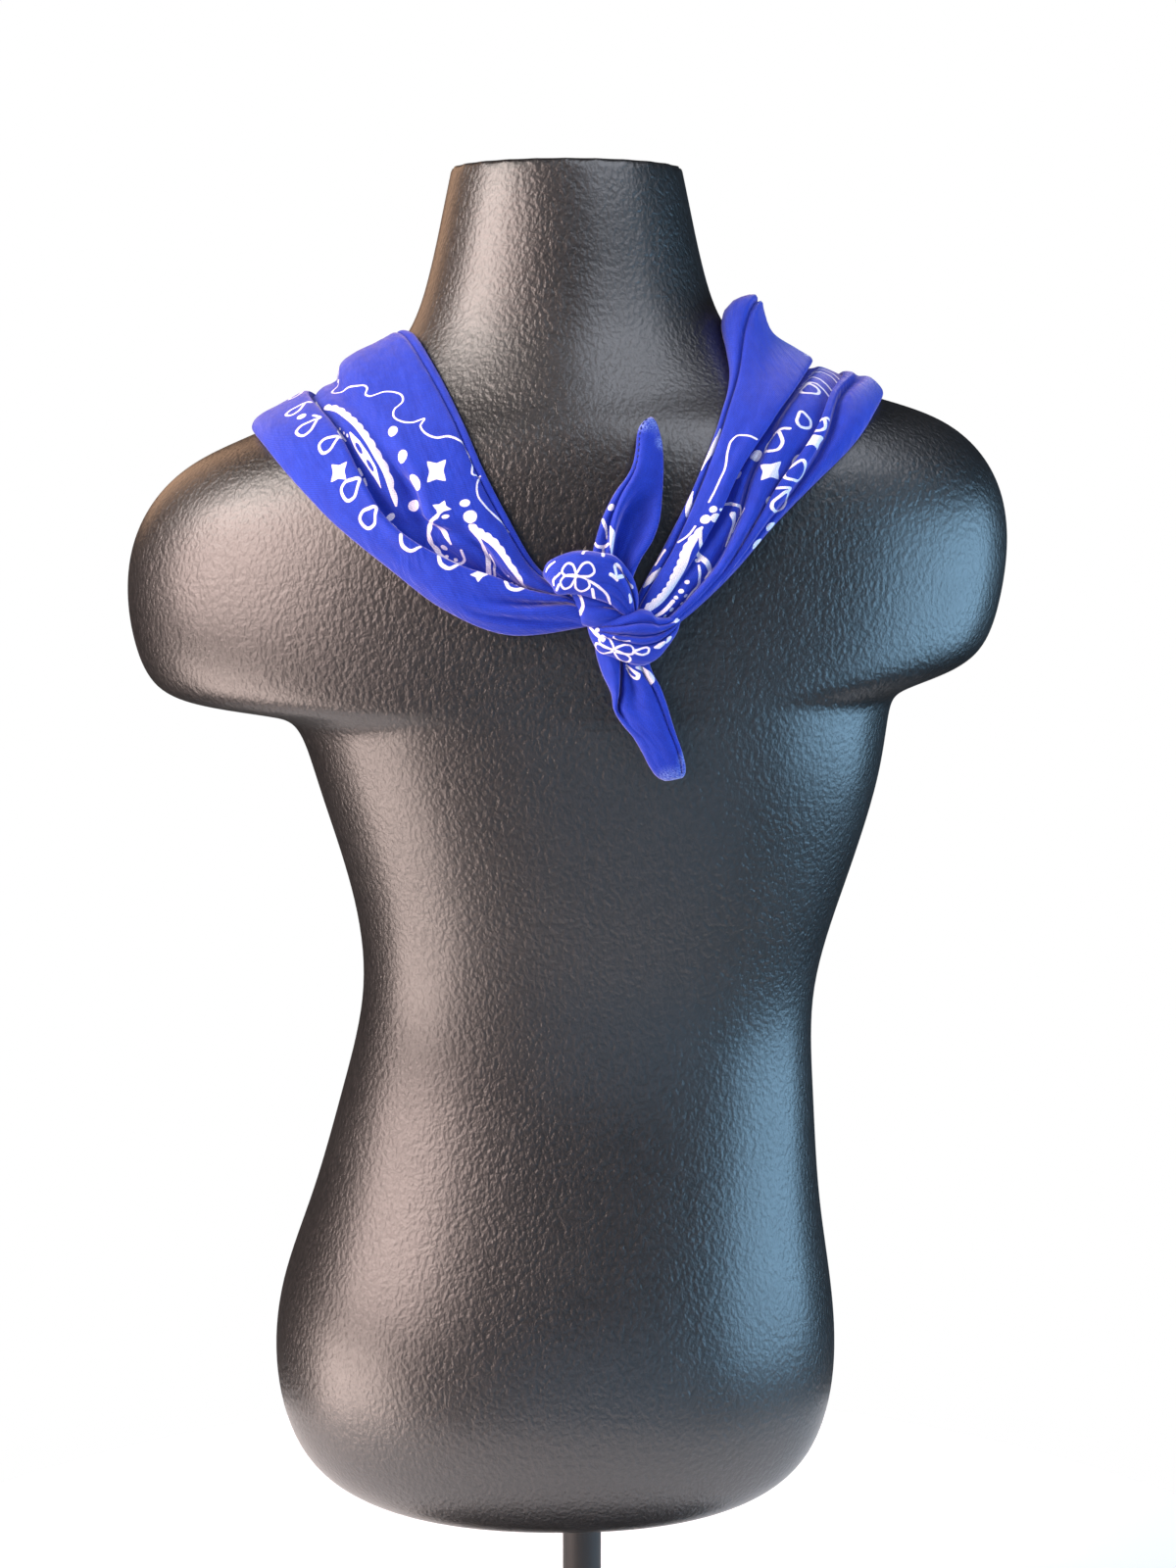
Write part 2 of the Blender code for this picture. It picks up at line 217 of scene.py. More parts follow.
def shape_object(name, shape, finish):
    """An object made from a bmesh, which is freed."""
    mesh = bpy.data.meshes.new(name)
    shape.to_mesh(mesh)
    shape.free()
    return smooth_object(name, mesh, [finish])


def moulded_form(finish):
    """The torso: a cage lofted through the sections, closed at both ends, and subdivided."""
    shape = bmesh.new()
    rings = []
    for z, half_width, back, front, centre_x, centre_y, roundness, tilt in FORM_SECTIONS:
        slope = math.tan(math.radians(tilt))
        rings.append(
            [
                shape.verts.new(((x + centre_x) * MM, (y + centre_y) * MM, (z + x * slope) * MM))
                for x, y in section_ring(half_width, back, front, roundness)
            ]
        )
    for lower, upper in zip(rings, rings[1:]):
        for i in range(FORM_POINTS):
            j = (i + 1) % FORM_POINTS
            shape.faces.new((lower[i], lower[j], upper[j], upper[i]))
    ends = [shape.faces.new(list(reversed(rings[0]))), shape.faces.new(rings[-1])]
    crease = shape.edges.layers.float.new("crease_edge")
    for end in ends:
        for edge in end.edges:
            edge[crease] = RIM_CREASE
    bmesh.ops.recalc_face_normals(shape, faces=shape.faces)
    form = shape_object("form_torso", shape, finish)
    smooth = form.modifiers.new("smooth", "SUBSURF")
    smooth.levels = smooth.render_levels = FORM_SUBDIVISIONS
    return form


form = moulded_form(black_texture_paint())
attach(form, "root")
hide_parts("dress_form")


# ---- Bandana, the band round the neck ----
# A 64 cm square of thin printed cloth, folded corner to corner on the bias into a band of several
# layers. Its folds and edges turn under, and it closes up into gathers towards the knot.

CLOTH_THICKNESS = 0.8
BEHIND = -1000


class Skin:
    """The form's surface, to find the point and the smooth normal nearest to a place in millimetres."""

    def __init__(self, obj):
        bpy.context.view_layer.update()
        mesh = obj.evaluated_get(bpy.context.evaluated_depsgraph_get()).data
        self.points = [v.co / MM for v in mesh.vertices]
        self.normals = [v.normal.copy() for v in mesh.vertices]
        self.faces = [tuple(p.vertices) for p in mesh.polygons]
        self.tree = BVHTree.FromPolygons(self.points, self.faces)

    def foot(self, place):
        """The skin's point nearest to a place, and the smooth normal there."""
        foot, _, face, _ = self.tree.find_nearest(place)
        corners = self.faces[face]
        normal = Vector()
        for weight, i in zip(poly_3d_calc([self.points[i] for i in corners], foot), corners):
            normal += weight * self.normals[i]
        return foot, normal.normalized()

    def facing_back(self, x, z):
        """The skin's point straight in front of someone who stands behind the form."""
        return tuple(self.tree.ray_cast(Vector((x, BEHIND, z)), Vector((0, 1, 0)))[0])


def smooth_curve(knots, values, places):
    """A curve through the values at rising knots, read at places. Its slopes follow the neighbours."""
    knots, values = np.asarray(knots, float), np.asarray(values, float)
    gaps = np.diff(knots)
    steps = np.diff(values, axis=0) / gaps[:, None]
    slopes = np.empty_like(values)
    slopes[0], slopes[-1] = steps[0], steps[-1]
    before, after = gaps[:-1, None], gaps[1:, None]
    slopes[1:-1] = (steps[:-1] * after + steps[1:] * before) / (before + after)
    i = np.clip(np.searchsorted(knots, places, side="right") - 1, 0, len(gaps) - 1)
    f = ((places - knots[i]) / gaps[i])[:, None]
    gap = gaps[i][:, None]
    here, there = values[i], values[i + 1]
    rise, cubic = f * f * (3 - 2 * f), f * (1 - f)
    return here + (there - here) * rise + gap * cubic * (slopes[i] * (1 - f) - slopes[i + 1] * f)


def distances(points):
    """How far along a line of points each one lies."""
    return np.concatenate([[0], np.cumsum(np.linalg.norm(np.diff(points, axis=0), axis=1))])


def between(grid, i, j):
    """The grid read smoothly at fractional rows i and columns j."""
    total = 0
    row, column = (
        np.clip(np.floor(k).astype(int), 0, n - 2) for k, n in zip((i, j), grid.shape[:2])
    )
    weights = []
    for f in (i - row, j - column):
        weights.append(
            (
                (-f + 2 * f**2 - f**3) / 2,
                (2 - 5 * f**2 + 3 * f**3) / 2,
                (f + 4 * f**2 - 3 * f**3) / 2,
                (-(f**2) + f**3) / 2,
            )
        )
    for a in range(4):
        for b in range(4):
            rows = np.clip(row + a - 1, 0, grid.shape[0] - 1)
            columns = np.clip(column + b - 1, 0, grid.shape[1] - 1)
            total = total + (weights[0][a] * weights[1][b])[:, None] * grid[rows, columns]
    return total


# Lengths are in millimetres. The smallest pace is a share of a stretch's mean pace.
RUN_SAMPLES = 40
SMALLEST_GAP = 0.05
SMALLEST_PACE = 0.3
MERGE_DISTANCE = 1e-4
CREASE_FADE = 0.7


class Cloth:
    """A stretch of cloth on the form. Its stations follow each other along it, and at each of them the
    folds cross it: each has its place between the stretch's two edges, and its height off the form."""

    def __init__(self, skin, inner, outer, sections, fold_steps, step, creases=()):
        inner, outer = np.asarray(inner, float), np.asarray(outer, float)
        stations = np.arange(len(inner), dtype=float)
        fine = np.linspace(0, stations[-1], RUN_SAMPLES * len(stations))
        run = distances(smooth_curve(stations, (inner + outer) / 2, fine))
        self.stations = np.interp(np.linspace(0, run[-1], round(run[-1] / step) + 1), run, fine)
        self.along = run[-1] / (len(self.stations) - 1)
        self.fold_columns = np.concatenate([[0], np.cumsum(fold_steps)])
        known = list(sections)
        folds = np.array([np.ravel(section) for section in sections.values()], float)
        held = np.clip(self.stations, known[0], known[-1])
        sections = smooth_curve(known, folds, held).reshape(len(held), -1, 2)
        rows, ups = [], []
        starts, ends = (smooth_curve(stations, edge, self.stations) for edge in (inner, outer))
        for start, end, section in zip(starts, ends, sections):
            drawn = section * (np.linalg.norm(end - start), 1)
            gaps = np.linalg.norm(np.diff(drawn, axis=0), axis=1)
            knots = np.concatenate([[0], np.cumsum(np.sqrt(np.maximum(gaps, SMALLEST_GAP)))])
            places = np.interp(np.arange(self.fold_columns[-1] + 1), self.fold_columns, knots)
            curve = smooth_curve(knots, section, places)
            feet = [skin.foot(Vector(start + (end - start) * p)) for p, _ in curve]
            rows.append([foot + up * h for (foot, up), (_, h) in zip(feet, curve)])
            ups.append([up for _, up in feet])
        self.grid = np.array(rows)
        self.across = np.array([distances(row) for row in self.grid])
        for crease in creases:
            self.grid += self.crease(*crease)[:, :, None] * np.array(ups)
        self.across = np.array([distances(row) for row in self.grid])

    def crease(self, station, fold, end_station, end_fold, width, height):
        """How far a soft ridge along a line of the cloth lifts each point of the grid. A height below
        zero makes a trough."""
        row, column = self.spot(station, fold)
        end_row, end_column = self.spot(end_station, end_fold)
        lift = np.zeros(self.across.shape)
        for i, line in enumerate(self.across):
            share = (i - row) / (end_row - row)
            if 0 < share < 1:
                middle = np.interp(column + (end_column - column) * share, np.arange(len(line)), line)
                ridge = height * math.sin(math.pi * share) ** CREASE_FADE
                lift[i] = ridge * np.exp(-(((line - middle) / width) ** 2))
        return lift

    def spot(self, station, fold):
        """The fractional row and column of a place given by its station and its fold."""
        row = np.interp(station, self.stations, np.arange(len(self.stations)))
        return row, np.interp(fold, np.arange(len(self.fold_columns)), self.fold_columns)

    def point(self, row, column):
        """The point of the cloth at a fractional row and column."""
        return between(self.grid, np.array([row]), np.array([column]))[0]

    def pace(self, row, column):
        """How many millimetres there are from one row to the next at a place."""
        stride = np.linalg.norm(self.point(row + 0.5, column) - self.point(row - 0.5, column))
        return max(stride, SMALLEST_PACE * self.along)

    def measure(self, row, column):
        """How many millimetres across the cloth every column lies at a row, and how many one does."""
        low = int(np.clip(math.floor(row), 0, len(self.across) - 2))
        line = self.across[low] + (self.across[low + 1] - self.across[low]) * (row - low)
        return line, np.interp(column, np.arange(len(line)), line)

    def spread(self, station, fold, outline):
        """Rows and columns of an outline given in millimetres along and across from a place."""
        row, column = self.spot(station, fold)
        pace = self.pace(row, column)
        spots = []
        for along, across in outline:
            i = float(np.clip(row + along / pace, 0, len(self.grid) - 1))
            line, start = self.measure(i, column)
            spots.append((i, np.interp(start + across, line, np.arange(len(line)))))
        return np.array(spots)

    def flat(self, station, fold, path):
        """A path of stations and folds as millimetres along and across from a place."""
        row, column = self.spot(station, fold)
        pace = self.pace(row, column)
        line = []
        for s, f in path:
            i, j = self.spot(s, f)
            line.append(((i - row) * pace, self.measure(i, j)[1] - self.measure(i, column)[1]))
        return np.array(line)

    def printed_mesh(self, name, motifs, finishes):
        """The cloth as an object, its faces cut along the motifs' outlines and those inside inked."""
        rows, columns = self.grid.shape[:2]
        pitch = np.array([self.along, self.across[:, -1].mean() / (columns - 1)])
        points = [Vector((i * pitch[0], j * pitch[1])) for i in range(rows) for j in range(columns)]
        edges = []
        for loop in itertools.chain.from_iterable(motifs):
            first = len(points)
            points += [Vector(p) for p in loop * pitch]
            edges += [(first + k, first + (k + 1) % len(loop)) for k in range(len(loop))]
        corners, _, faces, *_ = delaunay_2d_cdt(points, edges, [], 0, MERGE_DISTANCE)
        corners, faces = np.array(corners) / pitch, np.array(faces)
        middles = corners[faces].mean(axis=1)
        inked = np.zeros(len(faces), bool)
        for motif in motifs:
            low = np.min([loop.min(axis=0) for loop in motif], axis=0)
            high = np.max([loop.max(axis=0) for loop in motif], axis=0)
            near = np.flatnonzero(((middles >= low) & (middles <= high)).all(axis=1))
            inked[near] |= inside(middles[near], motif)
        spots = between(self.grid, corners[:, 0], corners[:, 1])
        mesh = bpy.data.meshes.new(name)
        mesh.from_pydata((spots * MM).tolist(), [], faces.tolist())
        obj = smooth_object(name, mesh, finishes)
        mesh.polygons.foreach_set("material_index", inked.astype(int))
        run = between(self.across[:, :, None], corners[:, 0], corners[:, 1])[:, 0]
        threads = np.stack([corners[:, 0] * self.along, run], axis=1) * MM
        layer = mesh.uv_layers.new(name="threads")
        layer.data.foreach_set("uv", threads[faces.ravel()].ravel())
        thick = obj.modifiers.new("thickness", "SOLIDIFY")
        thick.thickness = CLOTH_THICKNESS * MM
        thick.offset = 0
        return obj


def inside(points, loops):
    """Which points the loops go round. A hole's loop runs the other way round."""
    turns = np.zeros(len(points), int)
    x, y = points[:, :1], points[:, 1:]
    for loop in loops:
        (x0, y0), (x1, y1) = loop.T, np.roll(loop, -1, axis=0).T
        side = (x1 - x0) * (y - y0) - (x - x0) * (y1 - y0)
        turns += ((y0 <= y) & (y1 > y) & (side > 0)).sum(axis=1)
        turns -= ((y0 > y) & (y1 <= y) & (side < 0)).sum(axis=1)
    return turns != 0


# The waves that Blender's wave texture fits into a length of 2 pi.
WAVE_BANDS = 20


def printed_cotton(name, colour, tint, sheen):
    """Fine cotton twill, dyed and printed: soft, with a bloom where it turns away and small crumples
    drawn out along the folds. Its ribs are 0.9 mm apart, coarser than the real 0.5 mm, so that they
    show. Where it is worn, the dye has rubbed off the ribs in pale specks."""
    made, tree = new_material(name)
    place = node(tree, "ShaderNodeUVMap", uv_map="threads").outputs["UV"]
    ribs = []
    for turn, pitch in ((45, 0.9), (-45, 0.8)):
        turned = {"Vector": place, "Rotation": (0, 0, math.radians(turn))}
        spacing = {
            "Vector": node(tree, "ShaderNodeMapping", turned).outputs["Vector"],
            "Scale": 2 * math.pi / (WAVE_BANDS * pitch * MM),
            "Distortion": 0.5,
            "Detail": 1.0,
            "Detail Scale": 0.5,
        }
        ribs.append(node(tree, "ShaderNodeTexWave", spacing).outputs["Fac"])
    weave = node(tree, "ShaderNodeMath", {0: ribs[1], 1: 0.4, 2: ribs[0]}, operation="MULTIPLY_ADD")
    weave = weave.outputs["Value"]
    drawn_out = node(tree, "ShaderNodeMapping", {"Vector": place, "Scale": (0.3, 1.0, 1.0)})
    drawn_out = drawn_out.outputs["Vector"]
    noises = []
    sizes = ((drawn_out, 5, 2.0), (place, 7, 3.0), (place, 0.9, 2.0), (place, 0.7, 1.0))
    for where, size, detail in sizes:
        scales = {"Vector": where, "Scale": 1 / (size * MM), "Detail": detail}
        noises.append(node(tree, "ShaderNodeTexNoise", scales).outputs["Fac"])
    crumples, slubs, specks, fibres = noises
    crumple_depth = {"Height": crumples, "Strength": 0.7, "Distance": 1.6 * MM}
    crumpled = node(tree, "ShaderNodeBump", crumple_depth).outputs["Normal"]
    rib_depth = {"Height": weave, "Strength": 0.4, "Distance": 0.14 * MM, "Normal": crumpled}
    bump = node(tree, "ShaderNodeBump", rib_depth)
    dye = node(tree, "ShaderNodeValToRGB", {"Fac": slubs}, ((0.3, colour), (0.7, tint)))
    speck_range = {"Value": specks, "From Min": 0.35, "From Max": 0.7}
    rubbed = node(tree, "ShaderNodeMapRange", speck_range).outputs["Result"]
    worn = node(tree, "ShaderNodeAttribute", attribute_name="worn").outputs["Fac"]
    share = node(tree, "ShaderNodeMath", {0: rubbed, 1: worn}, operation="MULTIPLY").outputs["Value"]
    mixed = {"Fac": share, "Color1": dye.outputs["Color"], "Color2": srgb("#9db4f2")}
    dye = node(tree, "ShaderNodeMixRGB", mixed).outputs["Color"]
    # The dye is darkened between the twill's ribs, which is painted shade, and varies at random with the
    # fibres, which is their own tone.
    fibre_tone_and_rib_shade = node(tree, "ShaderNodeMath", {0: weave, 1: 0.3, 2: fibres}, operation="MULTIPLY_ADD")
    fibre_tone_and_rib_shade = fibre_tone_and_rib_shade.outputs["Value"]
    fibre_and_rib_shade_range = {"Value": fibre_tone_and_rib_shade, "From Min": 0.4, "From Max": 1.0, "To Min": 0.78, "To Max": 1.26}
    depth = node(tree, "ShaderNodeMapRange", fibre_and_rib_shade_range).outputs["Result"]
    tone = node(tree, "ShaderNodeVectorMath", {0: dye, 1: depth}, operation="MULTIPLY")
    settings = {
        "Base Color": tone.outputs["Vector"],
        "Roughness": 0.78,
        "IOR": 1.4,
        "Sheen Weight": sheen,
        "Sheen Roughness": 0.4,
        "Sheen Tint": srgb("#e0d4f8"),
        "Normal": bump.outputs["Normal"],
    }
    finish_material(tree, settings)
    return made


# The print: off-white motifs, each made of parts, and each part of loops in millimetres. A motif
# starts at (0, 0) and runs towards +x.

INK_STEP = 0.6
LEAST_STEPS = 6
SHORTEST = 1e-6
CAP_TURN = 0.9
BUMP_SPREAD = 0.92
DISC_CORNERS = 16


def smooth_line(points, closed=False):
    """The points joined by a smooth line, as points about 0.6 mm apart."""
    points = np.asarray(points, float)
    if closed:
        points = np.concatenate([points[-2:], points, points[:3]])
    knots = distances(points)
    start, end = (knots[2], knots[-3]) if closed else (0, knots[-1])
    count = max(LEAST_STEPS, round((end - start) / INK_STEP))
    places = np.linspace(start, end, count + 1)
    return smooth_curve(knots, points, places[:-1] if closed else places)


def line_sides(line, closed=False):
    """For each point of a line, the unit vectors along it and to its left."""
    ahead = np.roll(line, -1, 0) - np.roll(line, 1, 0) if closed else np.gradient(line, axis=0)
    ahead /= np.linalg.norm(ahead, axis=1).clip(SHORTEST)[:, None]
    return ahead, np.stack([-ahead[:, 1], ahead[:, 0]], axis=1)


def ribbon(line, left, right, closed=False):
    """A line of ink as wide to its left and its right as these say, with rounded ends."""
    ahead, side = line_sides(line, closed)
    left_edge, right_edge = line + side * left[:, None], line - side * right[:, None]
    if closed:
        return [left_edge, right_edge[::-1]]
    reach = (left + right) / 2
    caps = []
    for k, way in ((-1, 1), (0, -1)):
        for angle in (CAP_TURN * way, 0, -CAP_TURN * way):
            beyond = way * ahead[k] * reach[k] * math.cos(angle)
            caps.append(line[k] + beyond + side[k] * reach[k] * math.sin(angle))
    return [np.concatenate([left_edge, caps[:3], right_edge[::-1], caps[3:]])]


def half_widths(ink, share):
    """Half of a line's width at shares of its length. Its ink is one width, or several spread evenly."""
    ink = np.atleast_1d(ink)
    return np.interp(share, np.linspace(0, 1, len(ink)), ink) / 2


def stroke(points, ink, closed=False):
    """A drawn line, whose ink is its width or its widths from end to end."""
    line = smooth_line(points, closed)
    half = half_widths(ink, np.linspace(0, 1, len(line)))
    return [ribbon(line, half, half, closed)]


def scalloped(points, ink, bumps, swell):
    """A drawn line whose left side swells into a row of bumps."""
    line = smooth_line(points)
    share = np.linspace(0, 1, len(line))
    half = half_widths(ink, share)
    swelling = swell * np.abs(np.sin(math.pi * bumps * share ** BUMP_SPREAD))
    return [ribbon(line, half + swelling, half)]


# The border's waves, as shares along a stretch and to its left.
WAVES = {
    "notched": (
        (0, 0), (0.07, -0.08), (0.13, -0.086), (0.24, 0.04), (0.36, 0.087), (0.48, 0.085), (0.56, 0.03),
        (0.58, -0.1), (0.66, -0.17), (0.8, -0.17), (0.93, -0.1),
    ),
    "domed": (
        (0, 0), (0.04, -0.08), (0.1, -0.097), (0.2, -0.085), (0.29, -0.04), (0.4, 0.08), (0.51, 0.145),
        (0.62, 0.175), (0.73, 0.15), (0.84, 0.06), (0.93, -0.04),
    ),
    "shallow": (
        (0, 0), (0.1, -0.2), (0.2, -0.26), (0.34, -0.2), (0.55, -0.09), (0.78, -0.03), (0.92, 0.02),
    ),
}


def border_line(cusps, ink, waves):
    """A thin border of waves, one from each cusp to the next."""
    points = []
    for here, there, wave in zip(cusps, cusps[1:], waves):
        along = np.subtract(there, here)
        points += [here + along * a + np.array([-along[1], along[0]]) * b for a, b in WAVES[wave]]
    return stroke(points + [cusps[-1]], ink)


def pierced(points, ink, holes):
    """A leaf whose ink has holes, each given by its share along the leaf, its length and its width."""
    leaf = stroke(points, ink)[0]
    line = smooth_line(points)
    ahead, _ = line_sides(line)
    for share, length, width in holes:
        k = round(share * (len(line) - 1))
        turn = math.degrees(math.atan2(ahead[k][1], ahead[k][0]))
        leaf.append(moved(disc(length, width), 0, 0, turn)[0][0] + line[k])
    return [leaf]


def disc(length, width=None):
    """A filled dot, or an oval if its width is given."""
    angles = np.arange(DISC_CORNERS) * 2 * math.pi / DISC_CORNERS
    return [[np.stack([np.cos(angles) * length / 2, np.sin(angles) * (width or length) / 2], axis=1)]]


def star(reach):
    """A four-pointed star with hollow sides, with a point on +x."""
    outline = []
    for quarter in range(4):
        for angle, share in ((0, 1), (10, 0.82), (26, 0.62), (45, 0.54), (64, 0.62), (80, 0.82)):
            turn = math.radians(90 * quarter + angle)
            outline.append((reach * share * math.cos(turn), reach * share * math.sin(turn)))
    return [[np.array(outline)]]


def drop(length, width, ink, hook=0.0):
    """An open drop from its tip to its round end. A hook curls from the tip over its shoulder."""
    sides = (
        (0, 0), (0.28, 0.3), (0.62, 0.5), (0.93, 0.36), (1, 0), (0.92, -0.38), (0.62, -0.5),
        (0.3, -0.3),
    )
    parts = stroke([(length * x, width * y) for x, y in sides], ink, closed=True)
    if hook:
        curl = ((0.03, 0), (-0.1, 0.12), (-0.13, hook))
        parts += stroke([(length * x, width * y) for x, y in curl], ink)
    return parts


def moved(parts, along, across, turn=0.0):
    """A motif's parts turned by degrees and moved."""
    c, s = math.cos(math.radians(turn)), math.sin(math.radians(turn))
    spin = np.array([[c, s], [-s, c]])
    return [[loop @ spin + (along, across) for loop in part] for part in parts]


def comma(length, width, ink):
    """A small paisley: an outline with a bent tip, four dots inside it, and a star at the tip."""
    outline = (
        (0, 0), (0.22, 0.22), (0.5, 0.44), (0.8, 0.42), (0.98, 0.12), (0.93, -0.26), (0.72, -0.4),
        (0.55, -0.2), (0.4, -0.16), (0.2, -0.14),
    )
    parts = stroke([(length * x, width * y) for x, y in outline], ink, closed=True)
    for k in range(4):
        spot = disc(0.09 * length, 0.07 * length)
        parts += moved(spot, (0.3 + 0.5 * k / 3) * length, (0.02 + 0.16 * (k % 2)) * width)
    return parts + moved(star(0.17 * length), -0.05 * length, 0.02 * width, 20)


def printed(cloth, motifs):
    """Motifs put on the cloth: each is a station and fold to start from, a turn, and its parts."""
    return [
        [cloth.spread(station, fold, loop) for loop in part]
        for station, fold, turn, parts in motifs
        for part in moved(parts, 0, 0, turn)
    ]


def drawn(cloth, path, maker, *settings):
    """A motif drawn along a path of stations and folds by a maker such as stroke or scalloped."""
    parts = maker(list(cloth.flat(*path[0], path)), *settings)
    return [[cloth.spread(*path[0], loop) for loop in part] for part in parts]


BAND_STATIONS = (
    # inner_x, inner_y, inner_z, outer_x, outer_y, outer_z
    (4, -105, 711, 13, -106, 697),
    (-2, -105, 714, 9, -106, 695),
    (-16, -104, 727, -28, -105, 691),
    (-30, -101, 751, -60, -102, 703),
    (-42, -94, 774, -89, -97, 724),
    (-53, -79, 798, -117, -88, 746),
    (-65, -57, 820, -140, -72, 768),
    (-78, -22, 841, -167, -14, 792),
    (-77, 12, 838, -156, 34, 785),
    (-60, 45, 832, -112, 78, 763),
    (-30, 68, 822, -58, 98, 744),
    (4, 76, 816, 5, 104, 736),
    (38, 68, 823, 68, 98, 746),
    (66, 45, 838, 120, 76, 768),
    (82, 16, 851, 158, 34, 797),
    (83, -15, 852, 168, -10, 810),
    (85, -51, 822, 159, -47, 799),
    (79, -77, 799, 146, -69, 784),
    (70, -91, 776, 122, -86, 762),
    (61, -98, 756, 104, -93, 744),
    (49, -102, 733, 83, -99, 720),
    (38, -104, 713, 60, -103, 699),
    (34, -104, 703, 48, -103, 693),
)

